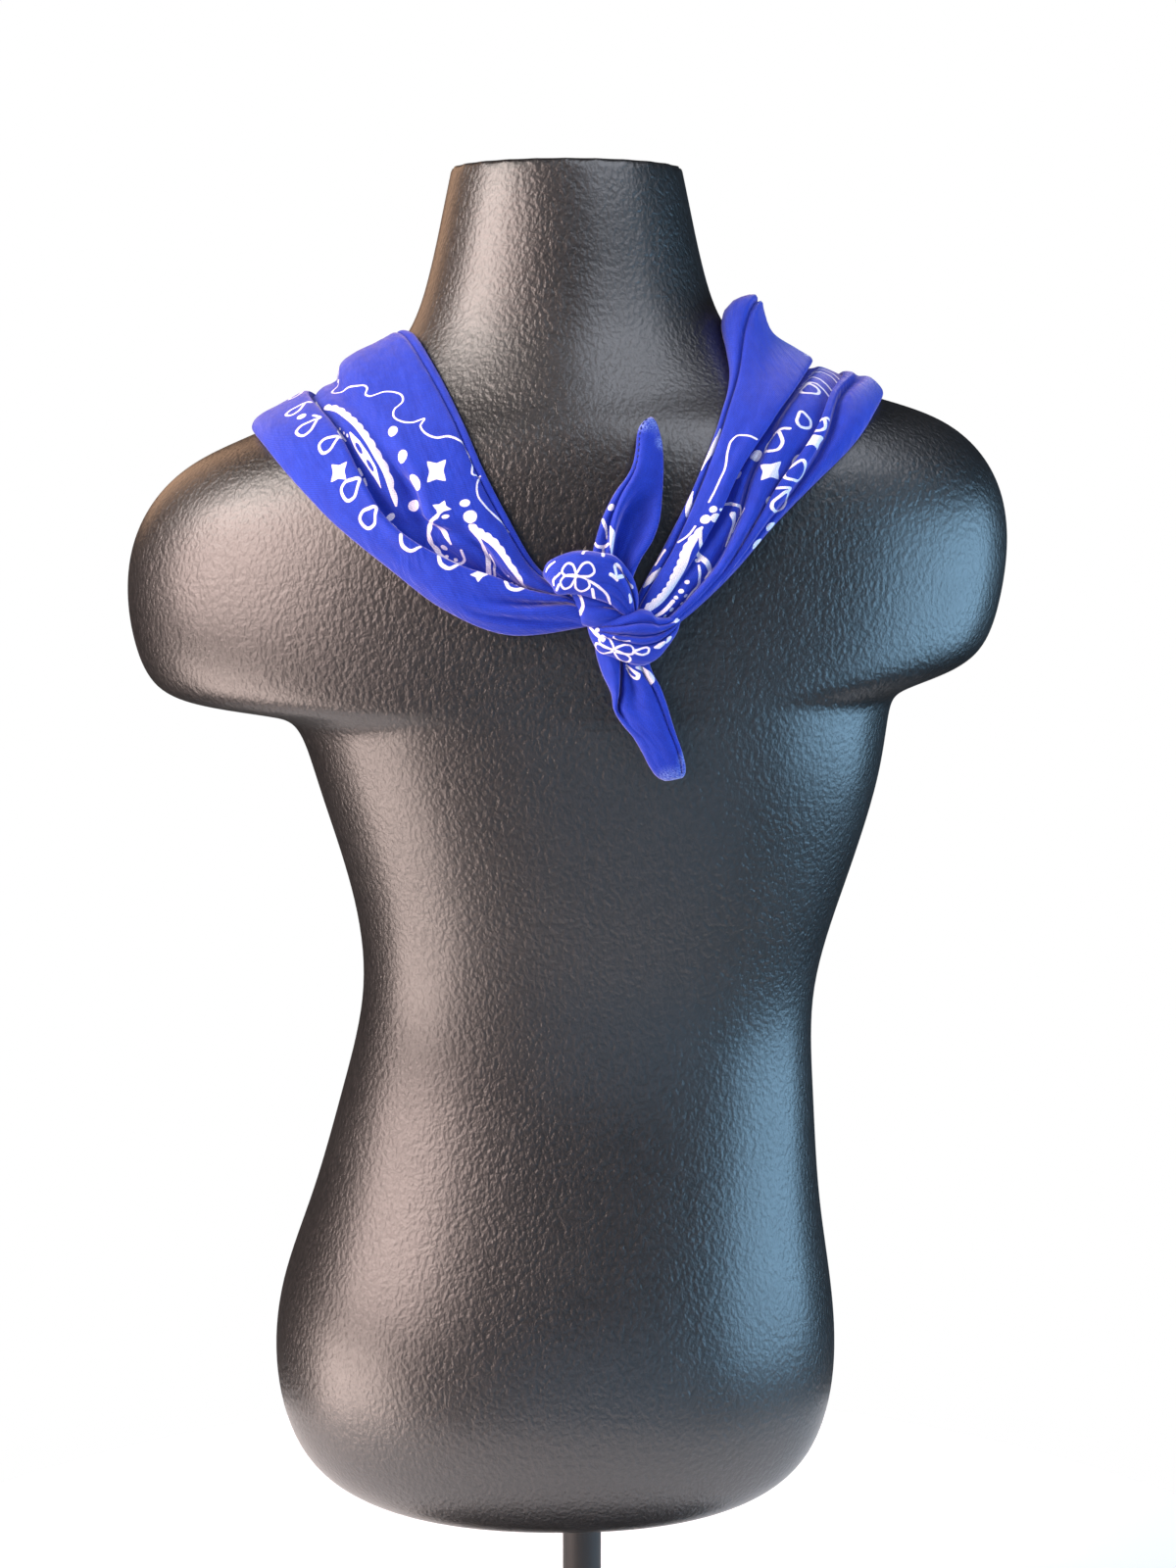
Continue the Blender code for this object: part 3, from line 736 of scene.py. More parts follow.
# Each station's folds as (place, height): the place across the band from its inner to its outer edge,
# and the height off the form. The first stations run from the knot up to the left shoulder.
BAND_FOLDS = {
    1: (
        (0, 4), (0.03, 6), (0.06, 5.8), (0.08, 7), (0.1, 7.8), (0.12, 8.4), (0.14, 8.8), (0.165, 8.8),
        (0.19, 8), (0.21, 6.6), (0.225, 5.8), (0.235, 5.4), (0.245, 5.2), (0.26, 5.2), (0.262, 6.4),
        (0.226, 8.4), (0.25, 9.8), (0.31, 10.2), (0.385, 6.2), (0.46, 10.8), (0.93, 8.6), (1, 4.4),
    ),
    1.5: (
        (0, 3.4), (0.035, 5.5), (0.065, 5.2), (0.08, 6.8), (0.1, 7.8), (0.125, 8.8), (0.16, 9.6),
        (0.2, 9.8), (0.235, 8.8), (0.265, 6.4), (0.285, 4.6), (0.3, 3.8), (0.315, 3.6), (0.335, 3.8),
        (0.335, 6.1), (0.291, 9), (0.315, 10.4), (0.385, 11.3), (0.465, 7), (0.55, 11.5), (0.885, 9.6),
        (1, 4.2),
    ),
    2: (
        (0, 3), (0.04, 5), (0.075, 4.6), (0.085, 6.4), (0.1, 7.6), (0.13, 8.8), (0.17, 9.8),
        (0.23, 10.6), (0.28, 9.4), (0.32, 6), (0.345, 3.4), (0.365, 1.8), (0.385, 1.6), (0.41, 1.8),
        (0.408, 5.8), (0.36, 9.8), (0.385, 11.2), (0.47, 12.3), (0.565, 8.2), (0.66, 12.2), (0.87, 9.8),
        (1, 4),
    ),
    2.5: (
        (0, 2.9), (0.036, 4.7), (0.072, 4.1), (0.08, 6), (0.105, 7.4), (0.135, 8.8), (0.17, 9.9),
        (0.235, 10.9), (0.3, 9.4), (0.35, 5.6), (0.378, 3.6), (0.405, 3.6), (0.43, 2), (0.47, 1.4),
        (0.5, 5.4), (0.452, 10.6), (0.475, 12), (0.58, 13), (0.7, 10.9), (0.8, 12.4), (0.935, 8.8),
        (1, 3.8),
    ),
    3: (
        (0, 2.8), (0.034, 4.4), (0.07, 3.6), (0.078, 5.6), (0.11, 7.2), (0.14, 8.6), (0.18, 10),
        (0.255, 11.1), (0.305, 9.8), (0.345, 5.8), (0.372, 5.4), (0.415, 7.2), (0.49, 5.2),
        (0.565, 1.4), (0.632, 5), (0.573, 11), (0.593, 12.4), (0.7, 13.4), (0.8, 12.7), (0.88, 11.6),
        (0.95, 8), (1, 3.6),
    ),
    3.5: (
        (0, 2.7), (0.032, 4.3), (0.065, 3.5), (0.072, 5.5), (0.105, 7), (0.145, 8.6), (0.2, 10),
        (0.3, 11.4), (0.36, 10.6), (0.41, 8.8), (0.44, 8.4), (0.49, 8.8), (0.55, 5.6), (0.625, 1.3),
        (0.71, 4.6), (0.662, 12), (0.681, 13.6), (0.76, 13.4), (0.83, 12.3), (0.895, 11), (0.957, 7.4),
        (1, 3.5),
    ),
    4: (
        (0, 2.6), (0.03, 4.2), (0.06, 3.4), (0.066, 5.4), (0.1, 6.8), (0.19, 8.4), (0.31, 10.4),
        (0.43, 12.8), (0.49, 13.6), (0.535, 11.8), (0.538, 6), (0.55, 1.6), (0.62, 1.3), (0.69, 2.6),
        (0.775, 4.6), (0.728, 12.8), (0.746, 14.6), (0.8, 13.8), (0.85, 11.6), (0.905, 10.2),
        (0.96, 6.8), (1, 3.5),
    ),
    4.5: (
        (0, 2.6), (0.026, 4.1), (0.055, 3.4), (0.061, 5.4), (0.1, 6.7), (0.2, 8.1), (0.32, 10),
        (0.42, 12), (0.462, 10), (0.482, 3.2), (0.515, 1.3), (0.575, 3.2), (0.635, 5), (0.7, 2.4),
        (0.775, 5), (0.742, 12.2), (0.76, 13.8), (0.81, 12), (0.86, 11.1), (0.912, 9.8), (0.966, 6.4),
        (1, 3.5),
    ),
    5: (
        (0, 2.6), (0.022, 4), (0.05, 3.4), (0.056, 5.4), (0.1, 6.6), (0.2, 7.8), (0.32, 9), (0.41, 10),
        (0.448, 8.2), (0.483, 4.8), (0.508, 4.2), (0.555, 7), (0.61, 7.4), (0.665, 4), (0.728, 5.2),
        (0.705, 10.8), (0.72, 12.2), (0.78, 11.3), (0.84, 10.5), (0.92, 9), (0.975, 6), (1, 3.5),
    ),
    6: (
        (0, 2.6), (0.02, 4.2), (0.045, 3.6), (0.052, 5.8), (0.1, 7.2), (0.2, 7.8), (0.31, 8.6),
        (0.4, 9), (0.445, 7.8), (0.48, 6.6), (0.508, 6.6), (0.56, 8), (0.6, 7.4), (0.635, 4.4),
        (0.67, 5), (0.652, 8.9), (0.665, 10.3), (0.76, 10.4), (0.84, 9.6), (0.92, 8.6), (0.975, 6.2),
        (1, 3.6),
    ),
    7: (
        (0, 2.8), (0.02, 4.6), (0.043, 4), (0.05, 6.2), (0.1, 8), (0.2, 10.5), (0.32, 13), (0.42, 12.6),
        (0.465, 8.8), (0.49, 6.4), (0.52, 6), (0.565, 6.6), (0.605, 5.8), (0.635, 4.2), (0.672, 4.8),
        (0.652, 8), (0.668, 9.4), (0.76, 9.3), (0.84, 8.7), (0.92, 8.2), (0.975, 6.6), (1, 4),
    ),
    # Round the front.
    9: (
        (0, 2.6), (0.02, 4), (0.045, 3.4), (0.052, 5.4), (0.1, 6.6), (0.18, 7.4), (0.27, 7.8),
        (0.36, 7.6), (0.4, 5.8), (0.44, 4.6), (0.5, 5.6), (0.56, 6.4), (0.61, 6), (0.65, 4.8),
        (0.67, 4.4), (0.672, 6.4), (0.7, 8), (0.77, 8.6), (0.84, 8), (0.91, 8), (0.975, 6), (1, 3.6),
    ),
    11: (
        (0, 2.6), (0.022, 4.2), (0.05, 3.4), (0.057, 5.2), (0.1, 6.4), (0.17, 7), (0.25, 7.4),
        (0.36, 8.4), (0.372, 6), (0.362, 4.2), (0.42, 5.2), (0.48, 6.6), (0.54, 6.8), (0.62, 6),
        (0.69, 4.4), (0.7, 6.2), (0.685, 7.8), (0.76, 8.6), (0.83, 7), (0.9, 8), (0.975, 6), (1, 3.6),
    ),
    13: (
        (0, 4), (0.01, 9), (0.055, 7.5), (0.065, 9.4), (0.11, 10.4), (0.18, 10.4), (0.3, 9.6),
        (0.43, 8.6), (0.43, 6.2), (0.43, 4.6), (0.47, 5.6), (0.5, 6), (0.54, 6.6), (0.62, 7),
        (0.7, 5.2), (0.72, 6.2), (0.715, 8.2), (0.79, 9), (0.85, 7.8), (0.91, 8.6), (0.975, 6.6),
        (1, 4),
    ),
    # From the right shoulder down to the knot.
    15: (
        (-0.04, 12), (0, 22), (0.075, 20.5), (0.085, 22.5), (0.18, 19.5), (0.3, 13.5), (0.46, 11.4),
        (0.56, 9), (0.53, 5), (0.55, 2.6), (0.58, 4), (0.595, 5), (0.615, 6.6), (0.67, 6.8),
        (0.77, 5.4), (0.785, 5.2), (0.757, 7.6), (0.8, 9), (0.84, 7.6), (0.9, 9.2), (0.965, 7),
        (1, 4.2),
    ),
    16: (
        (0, 4), (0.015, 9.2), (0.05, 7.4), (0.06, 9.8), (0.14, 10.8), (0.24, 10.4), (0.36, 10.8),
        (0.455, 9), (0.425, 5), (0.44, 1.8), (0.465, 3), (0.48, 4.4), (0.505, 7), (0.58, 8.2), (0.7, 5),
        (0.715, 4.8), (0.69, 7.8), (0.72, 8.6), (0.75, 4.6), (0.82, 9.2), (0.93, 7.8), (1, 3.8),
    ),
    17: (
        (0, 2.8), (0.014, 5.6), (0.038, 3.4), (0.048, 5.8), (0.13, 8), (0.215, 9.2), (0.3, 10.6),
        (0.37, 9.4), (0.34, 4.8), (0.36, 1.4), (0.395, 1.8), (0.42, 3.8), (0.445, 7), (0.56, 9.2),
        (0.695, 4.8), (0.71, 4.4), (0.7, 7.8), (0.75, 9.2), (0.8, 3.6), (0.875, 8.6), (0.955, 7),
        (1, 3.6),
    ),
    18: (
        (0, 2.6), (0.02, 5), (0.05, 3), (0.062, 5.4), (0.13, 7.6), (0.19, 8.8), (0.26, 10.4),
        (0.325, 9.6), (0.3, 4.4), (0.325, 1.6), (0.395, 6.2), (0.465, 2.2), (0.5, 7.4), (0.6, 9.6),
        (0.73, 4.8), (0.74, 4.4), (0.728, 8), (0.82, 9.8), (0.9, 4.4), (0.945, 7.4), (0.98, 5.6),
        (1, 3.4),
    ),
    19: (
        (0, 2.8), (0.035, 5.2), (0.076, 3.4), (0.088, 5.8), (0.14, 7.4), (0.21, 8.6), (0.295, 10),
        (0.37, 9.2), (0.35, 4.8), (0.38, 2), (0.52, 7), (0.61, 3.2), (0.65, 8.2), (0.725, 9.8),
        (0.81, 5.4), (0.82, 5.2), (0.808, 8.4), (0.865, 9.6), (0.915, 6.4), (0.95, 7), (0.98, 5.4),
        (1, 3.4),
    ),
    20: (
        (0, 3), (0.055, 5.8), (0.12, 3.8), (0.132, 6.2), (0.18, 7.4), (0.24, 8.6), (0.32, 9.4),
        (0.4, 8.8), (0.41, 7), (0.44, 5.6), (0.58, 8), (0.735, 4), (0.765, 8.8), (0.81, 9.8),
        (0.86, 7.8), (0.875, 7.6), (0.895, 8), (0.92, 8.2), (0.94, 7.2), (0.96, 6.4), (0.98, 5),
        (1, 3.4),
    ),
    21: (
        (0, 3.6), (0.07, 6.2), (0.125, 4.4), (0.14, 6.6), (0.18, 8), (0.24, 8.6), (0.33, 9),
        (0.41, 8.4), (0.46, 7.4), (0.52, 6.6), (0.62, 8.4), (0.755, 5), (0.8, 8.6), (0.84, 9.4),
        (0.88, 8.4), (0.9, 8.2), (0.92, 8.2), (0.935, 7.6), (0.95, 6.8), (0.965, 6), (0.985, 5),
        (1, 3.4),
    ),
}

UNDER_HEIGHT = 1.3


def tucked(station, folds):
    """A station's folds with two more at either edge, where the cloth turns in under itself, a
    little less far on the wide stretch over the right shoulder."""
    tuck = 0.12 if station in (13, 15) else 0.14
    starts = ((tuck, UNDER_HEIGHT), (0.03, UNDER_HEIGHT))
    return (*starts, *folds, (0.975, UNDER_HEIGHT), (0.88, UNDER_HEIGHT))


# How many steps the mesh takes between one fold and the next.
FOLD_STEPS = (2, 2, 3, 3, 3, 4, 8, 9, 9, 4, 4, 4, 5, 5, 4, 3, 4, 4, 6, 7, 7, 6, 4, 3, 3)
BAND_STEP = 2.5
# Small gathers: from a station and fold to another, half as wide as this, and this high.
BAND_CREASES = (
    (0.4, 21.9, 2.8, 21.3, 2.0, -3.4),
    (0.3, 19.3, 2.1, 19.5, 1.5, -0.7),
    (0.9, 8.4, 2.7, 8.3, 1.4, 0.5),
    (0.5, 21.35, 2.4, 21.0, 1.4, 0.8),
    (0.6, 22.4, 3.0, 22.3, 1.4, -1.4),
    (0.6, 8.9, 3.0, 9.0, 1.3, -0.7),
)


skin = Skin(form)
cloth = [
    printed_cotton("blue_cotton_twill", "#0c2da4", "#1135b2", 0.62),
    printed_cotton("white_print", "#e2dcea", "#ece8f2", 0.1),
]


def bandana_piece(name, laid, placed, lines, stands_for, worn=()):
    """A stretch of the bandana, printed with the motifs placed on it and the lines drawn on it, and
    worn round some places: each a station, a fold and a reach."""
    motifs = printed(laid, placed)
    for path, maker, *settings in lines:
        motifs += drawn(laid, path, maker, *settings)
    obj = laid.printed_mesh(name, motifs, cloth)
    points = np.array([v.co for v in obj.data.vertices]) / MM
    wear = np.zeros(len(points))
    for station, fold, reach in worn:
        middle = laid.point(*laid.spot(station, fold))
        wear = np.maximum(wear, 1 - np.linalg.norm(points - middle, axis=1) / reach)
    obj.data.attributes.new("worn", "FLOAT", "POINT").data.foreach_set("value", wear.clip(0, 1))
    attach(obj, "root")
    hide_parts(*stands_for)
    return obj


band = Cloth(
    skin,
    [s[:3] for s in BAND_STATIONS],
    [s[3:] for s in BAND_STATIONS],
    {station: tucked(station, folds) for station, folds in BAND_FOLDS.items()},
    FOLD_STEPS,
    BAND_STEP,
    BAND_CREASES,
)

LINE_INK = 1.1
LOOP_INK = 1.7

LEFT_PRINT = (
    # station, fold, turn, motif
    (7.25, 18.2, 139, drop(9.5, 7, LOOP_INK)),
    (6.71, 18.4, 116, drop(12.5, 7.4, LOOP_INK, 0.5)),
    (6.49, 19.0, 0, disc(5.4)),
    (6.33, 18.5, 107, drop(13, 9, LOOP_INK, -0.6)),
    (5.93, 18.0, 88, drop(11.6, 8.8, LOOP_INK, -0.6)),
    (5.47, 19.1, 8, star(6.4)),
    (5.14, 17.8, 92, drop(12, 10, LOOP_INK)),
    (4.66, 17.5, 96, drop(11.5, 9.4, LOOP_INK)),
    (4.5, 15.3, 0, disc(3.4, 5.6)),
    (2.81, 18.0, 20, star(4.2)),
    (5.45, 8.9, 0, disc(6.6, 5.6)),
    (4.98, 9.4, 0, disc(6.6)),
    (4.54, 9.75, 8, disc(10, 6.2)),
    (4.38, 12.7, 0, disc(5.6, 6.8)),
    (3.72, 8.0, 0, disc(4.8)),
    (3.49, 8.7, 0, disc(6.8)),
    (4.44, 7.8, 12, star(7.6)),
    (3.95, 8.9, 20, star(4.6)),
    (3.81, 9.6, 30, disc(3.4, 2.6)),
    (3.57, 14.5, 0, disc(4, 3)),
    (3.31, 15.0, 0, disc(2.2)),
    (3.46, 15.2, 0, disc(2)),
    (6.16, 14.7, 0, disc(2, 1.3)),
    (6.06, 14.6, 0, disc(2.2, 1.4)),
    (5.97, 14.4, 0, disc(2.6, 1.6)),
    (2.38, 11.4, 0, disc(1.5)),
    (2.27, 13.4, 0, disc(1.5)),
    (2.17, 12.9, 0, disc(1.5)),
)
RIGHT_PRINT = (
    (15.84, 14.2, 20, drop(12.6, 9.6, LOOP_INK, -0.5)),
    (16.7, 14.8, 32, drop(11.6, 8, LOOP_INK)),
    (16.72, 18.4, -10, drop(9, 7, LOOP_INK, 0.4)),
    (17.16, 14.0, 4, drop(13.4, 9.2, LOOP_INK, 0.6)),
    (17.57, 18.6, 6, drop(13, 10.5, LOOP_INK)),
    (18.17, 19.1, 14, drop(12.5, 9.5, LOOP_INK, -0.6)),
    (17.19, 18.6, 43, star(6.4)),
    (17.88, 14.9, 70, star(7)),
    (17.62, 12.2, 0, disc(7.4, 6.6)),
    (17.53, 15.9, 0, disc(7, 3.4)),
    (18.06, 11.4, 0, disc(4.6, 3.4)),
    (18.44, 15.8, 0, disc(4.4)),
    (18.99, 21.6, 0, disc(6, 4)),
    (19.35, 21.8, 0, disc(7, 4)),
    (19.0, 7.9, 0, disc(3.8)),
    (19.22, 7.6, 0, disc(5)),
    (19.14, 8.7, 0, disc(5)),
    (19.95, 11.4, 0, disc(2.2, 3)),
    (20.38, 11.7, 0, disc(2.4)),
    (20.57, 11.8, 0, disc(2.6)),
    (20.72, 11.8, 0, disc(2)),
    (20.6, 12.5, 0, disc(2.2)),
    (20.76, 12.9, 0, disc(2)),
    (20.99, 12.4, 0, disc(2.6)),
)
BAND_LINES = (
    # path of (station, fold), how it is drawn, and its ink
    (
        ((7.7, 11.6), (6.97, 10.2), (6.39, 8.6), (5.32, 7.0), (3.89, 3.3)),
        border_line, LINE_INK, ("domed", "shallow", "notched", "domed"),
    ),
    (((3.89, 3.3), (3.84, 5.4), (3.66, 6.5), (3.4, 6.5), (3.17, 5.7), (2.75, 3.6)), stroke, LINE_INK),
    (
        (
            (6.6, 14.4), (6.4, 13.3), (6.19, 12.9), (5.96, 12.7), (5.75, 12.7), (5.54, 12.75),
            (5.31, 12.9), (5.11, 13.0), (4.96, 13.2), (4.76, 13.6), (4.55, 14.1),
        ),
        scalloped, (2.2, 3.2, 3.4, 3.4, 3.4, 3.4, 3.5, 3.4, 2.8, 1.4), 12, 1.0,
    ),
    (
        ((5.95, 13.9), (5.62, 14.1), (5.35, 14.1), (5.12, 14.15), (4.9, 14.4)),
        pierced, (0.8, 4.6, 5.2, 4.4, 0.8), ((0.34, 9, 2.3), (0.68, 8, 2.1)),
    ),
    (((6.9, 15.0), (6.5, 15.2), (6.2, 15.2), (5.95, 15.1)), stroke, 1.0),
    (((5.4, 15.5), (5.28, 15.5)), stroke, 1.4),
    (((5.2, 15.5), (5.1, 15.6)), stroke, 1.4),
    (((4.4, 15.6), (4.32, 15.6)), stroke, 1.6),
    (((4.13, 17.7), (3.99, 18.9), (3.87, 18.8), (3.8, 17.6)), stroke, (1.6, 2.2, 1.4)),
    (((3.51, 17.4), (3.4, 18.4), (3.26, 18.4), (3.19, 17.3)), stroke, (1.6, 2.2, 1.6)),
    (
        ((3.92, 9.5), (3.94, 11.0), (3.97, 13.5), (3.85, 14.5), (3.72, 15.0), (3.57, 15.3)),
        scalloped, (1.2, 2, 2.2, 2, 1.6), 6, 0.9,
    ),
    (((3.57, 15.3), (3.45, 15.4), (3.35, 15.4), (3.22, 15.2), (3.18, 14.5), (3.3, 13.7)), stroke, 1.6),
    (((3.81, 12.2), (3.67, 13.0), (3.5, 13.7)), stroke, (3.8, 2.8, 1.4)),
    (
        ((3.39, 9.5), (3.17, 9.4), (2.92, 9.0), (2.68, 9.0), (2.44, 9.3), (2.18, 9.9), (1.94, 12.2)),
        scalloped, (2.4, 3.4, 3.6, 3.2, 2.8, 2.4, 1.6), 9, 0.8,
    ),
    (
        ((3.36, 9.7), (3.12, 10.2), (2.97, 11.4), (2.81, 13.0), (2.69, 15.3)),
        stroke, (2.2, 2.4, 2.6, 2.8, 3.4),
    ),
    (((2.84, 11.2), (2.73, 11.9), (2.6, 14.6)), stroke, 1.5),
    (((2.6, 14.8), (2.47, 15.3)), stroke, 1.3),
    (((2.37, 17.4), (2.27, 18.3), (2.11, 18.2), (2.02, 17.2)), stroke, 1.9),
    (
        (
            (17.44, 8.6), (17.41, 7.4), (17.42, 6.6), (17.53, 6.2), (17.71, 6.3), (18.11, 7.1),
            (18.33, 7.1), (18.58, 7.1), (18.87, 7.0),
        ),
        stroke, LINE_INK,
    ),
    (((19.39, 6.8), (19.56, 6.5), (19.75, 5.2)), stroke, LINE_INK),
    (((17.3, 3.3), (17.5, 3.3), (17.69, 3.1), (17.94, 2.6), (18.16, 2.4)), stroke, (1, 2, 2.8, 1.8, 1)),
    (((18.71, 2.5), (18.97, 2.7), (19.23, 3.4)), stroke, (1, 2.8, 1.8)),
    (((15.25, 12.8), (15.1, 14.2), (15.12, 15.2), (15.32, 15.9)), stroke, 1.2),
    (((15.42, 12.8), (15.3, 14.2), (15.32, 15.2), (15.48, 15.9)), stroke, 1.2),
    (((15.72, 12.8), (15.58, 14), (15.66, 15.2), (15.78, 15.9)), stroke, 1.4),
    (((15.86, 12.9), (15.78, 14.2), (15.86, 15.3), (15.97, 15.9)), stroke, 1.4),
    (
        ((18.96, 8.8), (18.8, 10.4), (18.75, 11.9), (18.78, 12.7), (18.9, 13.1)),
        scalloped, (1.6, 2, 2, 1.6), 5, -0.5,
    ),
    (((18.97, 12.0), (19.11, 12.5), (19.29, 12.7), (19.54, 13.0)), stroke, (3.2, 2.4, 2, 1.2)),
    (((18.77, 13.6), (19.01, 13.2), (19.28, 13.2)), stroke, 1.0),
    (
        (
            (21.49, 7.6), (20.93, 8.7), (20.62, 8.9), (20.34, 8.4), (20.08, 8.0), (19.85, 7.5),
            (19.64, 7.5), (19.38, 7.7),
        ),
        scalloped, (3.2, 3.9, 4.1, 4.3, 4.3, 4.3, 3.8, 1.4), 12, 0.8,
    ),
    (
        ((19.43, 7.7), (19.64, 8.6), (19.83, 11.0), (19.94, 12.2), (20.05, 12.8), (20.19, 13.0)),
        stroke, (1.4, 1.6, 2, 2.8, 2.8, 1.4),
    ),
    (
        ((20.03, 11.7), (20.2, 12.3), (20.35, 12.8), (20.5, 12.8), (20.64, 13.2)),
        stroke, (1, 1.4, 1.8, 1.6, 1.6),
    ),
    (((20.81, 11.8), (21.22, 11.7), (21.8, 11.3)), stroke, 1.8),
    (((21.27, 12.4), (21.45, 13.1)), stroke, 1.8),
    (((19.98, 2.6), (20.1, 2.5), (20.32, 2.4)), stroke, 1.4),
    (((20.35, 3.4), (20.49, 3.3), (20.62, 2.8), (20.87, 2.5)), stroke, (1.2, 3.6, 3.2, 1.2)),
)
# Round the front: the same row of drops and stars under the outer edge, and stars, dots and small
# paisleys above.
FRONT_PRINT = []
for k in range(20):
    motif = star(7) if k % 5 == 3 else drop(12.5, 8.8, LOOP_INK, 0.5 - k % 2)
    FRONT_PRINT.append((7.62 + 0.36 * k, 18.7, 92, motif))
for k in range(6):
    FRONT_PRINT += [
        (8.1 + 1.16 * k, 8.5, 15, star(7)),
        (8.55 + 1.16 * k, 8.7, 0, disc(6.6)),
        (8.78 + 1.16 * k, 8.4, 0, disc(4.6)),
        (8.35 + 1.16 * k, 13.6, 180 * (k % 2), comma(24, 10, 1.3)),
    ]
FRONT_BORDER = [(15.0, 8.4)] + [(14.2 - 0.93 * k, 7.3) for k in range(7)] + [(7.75, 8.6)]
BAND_LINES += ((FRONT_BORDER, border_line, LINE_INK, ("domed", "notched") * 4),)

band_piece = bandana_piece(
    "bandana_band",
    band,
    [*LEFT_PRINT, *FRONT_PRINT, *RIGHT_PRINT],
    BAND_LINES,
    ("band_left", "band_front", "band_right"),
)


# ---- Bandana, the knot ----
# The band's two ends are tied in one flat knot. Each end shows where it passes over the other, in a
# stretch pulled round and pleated into the spot where it dives under.

WRAP_STEP = 1.2


def wrap(skin, stations, folds, fold_steps, step=WRAP_STEP, creases=()):
    """Cloth drawn between two lines, each given as x and z, over the form's back."""
    return Cloth(
        skin,
        [skin.facing_back(s[0], s[1]) for s in stations],
        [skin.facing_back(s[2], s[3]) for s in stations],
        dict(enumerate(folds)),
        fold_steps,
        step,
        creases,
    )


UPPER_WRAP = (
    # upper_x, upper_z, lower_x, lower_z
    (-10.8, 721.9, -10.6, 719.8),
    (-8.7, 726.3, -6.4, 715.6),
    (-4.3, 729.1, -3.6, 711.6),
    (2.7, 731.6, 2.0, 711.8),
    (9.5, 732.3, 8.6, 711.2),
    (17.2, 731.3, 15.2, 709.3),
    (24.8, 729.4, 21.8, 707.0),
    (32.2, 721.0, 26.2, 703.4),
    (35.6, 711.6, 29.8, 701.0),
    (35.8, 703.6, 32.6, 699.6),
)
UPPER_WRAP_FOLDS = (
    (
        (0.2, 4), (0.05, 5), (0, 6.5), (0.1, 7.6), (0.2, 8.2), (0.3, 8.6), (0.45, 8.8), (0.6, 8.8),
        (0.75, 8.4), (0.9, 7.6), (1, 6.5), (0.95, 5), (0.8, 4),
    ),
    (
        (0.12, 6), (0.02, 8), (0, 10), (0.06, 12), (0.14, 13.2), (0.25, 14.2), (0.45, 15), (0.62, 15),
        (0.78, 14.2), (0.92, 13), (1, 11.4), (0.97, 10), (0.85, 9),
    ),
    (
        (0.1, 7), (0.02, 10), (0, 12.4), (0.05, 14.6), (0.12, 16), (0.22, 17.2), (0.42, 18.2),
        (0.62, 18.2), (0.8, 17.4), (0.93, 16.2), (1, 14.4), (0.97, 12.8), (0.85, 12),
    ),
    (
        (0.1, 8), (0.02, 11), (0, 14), (0.04, 16.2), (0.1, 17.8), (0.2, 19), (0.4, 20), (0.62, 20),
        (0.8, 19), (0.93, 17.4), (1, 15.6), (0.97, 14.2), (0.85, 13.4),
    ),
    (
        (0.1, 8), (0.02, 11.4), (0, 14.4), (0.04, 16.8), (0.1, 18.6), (0.2, 19.9), (0.4, 20.9),
        (0.62, 20.8), (0.8, 19.6), (0.93, 17.8), (1, 16), (0.97, 14.6), (0.85, 13.8),
    ),
    (
        (0.1, 8), (0.02, 11.2), (0, 14), (0.045, 16.6), (0.11, 18.2), (0.2, 19.2), (0.4, 20.6),
        (0.62, 20.4), (0.8, 19.2), (0.93, 17.4), (1, 15.6), (0.97, 14.2), (0.85, 13.4),
    ),
    (
        (0.1, 7.6), (0.02, 10.4), (0, 13), (0.06, 15.8), (0.12, 16.9), (0.17, 16.2), (0.34, 19),
        (0.58, 19), (0.78, 18), (0.92, 16.4), (1, 14.8), (0.97, 13.6), (0.85, 13),
    ),
    (
        (0.12, 7), (0.02, 9.6), (0, 12), (0.08, 14.6), (0.16, 15), (0.2, 12.8), (0.36, 16.4),
        (0.58, 16.6), (0.78, 15.8), (0.92, 14.6), (1, 13.2), (0.97, 12.2), (0.85, 11.6),
    ),
    (
        (0.15, 6.6), (0.02, 8.8), (0, 10.8), (0.12, 13), (0.24, 13.2), (0.3, 10.8), (0.46, 13.6),
        (0.64, 13.8), (0.8, 13.2), (0.92, 12.4), (1, 11.4), (0.97, 10.6), (0.85, 10),
    ),
    (
        (0.2, 6), (0.02, 7.6), (0, 9), (0.14, 10.6), (0.28, 10.8), (0.36, 9), (0.5, 10.4), (0.66, 10.6),
        (0.8, 10.2), (0.92, 9.6), (1, 8.8), (0.97, 8), (0.85, 7.6),
    ),
)
UPPER_WRAP_STEPS = (3, 2, 2, 2, 2, 4, 4, 4, 3, 2, 2, 2)

# Pleats that run into the pinch: from a station and fold to another, half as wide as this, and
# this high.
UPPER_WRAP_CREASES = (
    (3.6, 7.0, 8.9, 7.2, 0.9, -1.1),
    (4.6, 8.2, 8.9, 8.0, 0.8, -1.0),
    (4.2, 9.2, 8.8, 9.0, 0.8, 0.6),
    (2.6, 9.6, 7.4, 9.7, 0.7, -0.6),
    (5.0, 6.2, 8.9, 6.4, 0.7, 0.7),
)

upper_wrap = wrap(skin, UPPER_WRAP, UPPER_WRAP_FOLDS, UPPER_WRAP_STEPS, creases=UPPER_WRAP_CREASES)

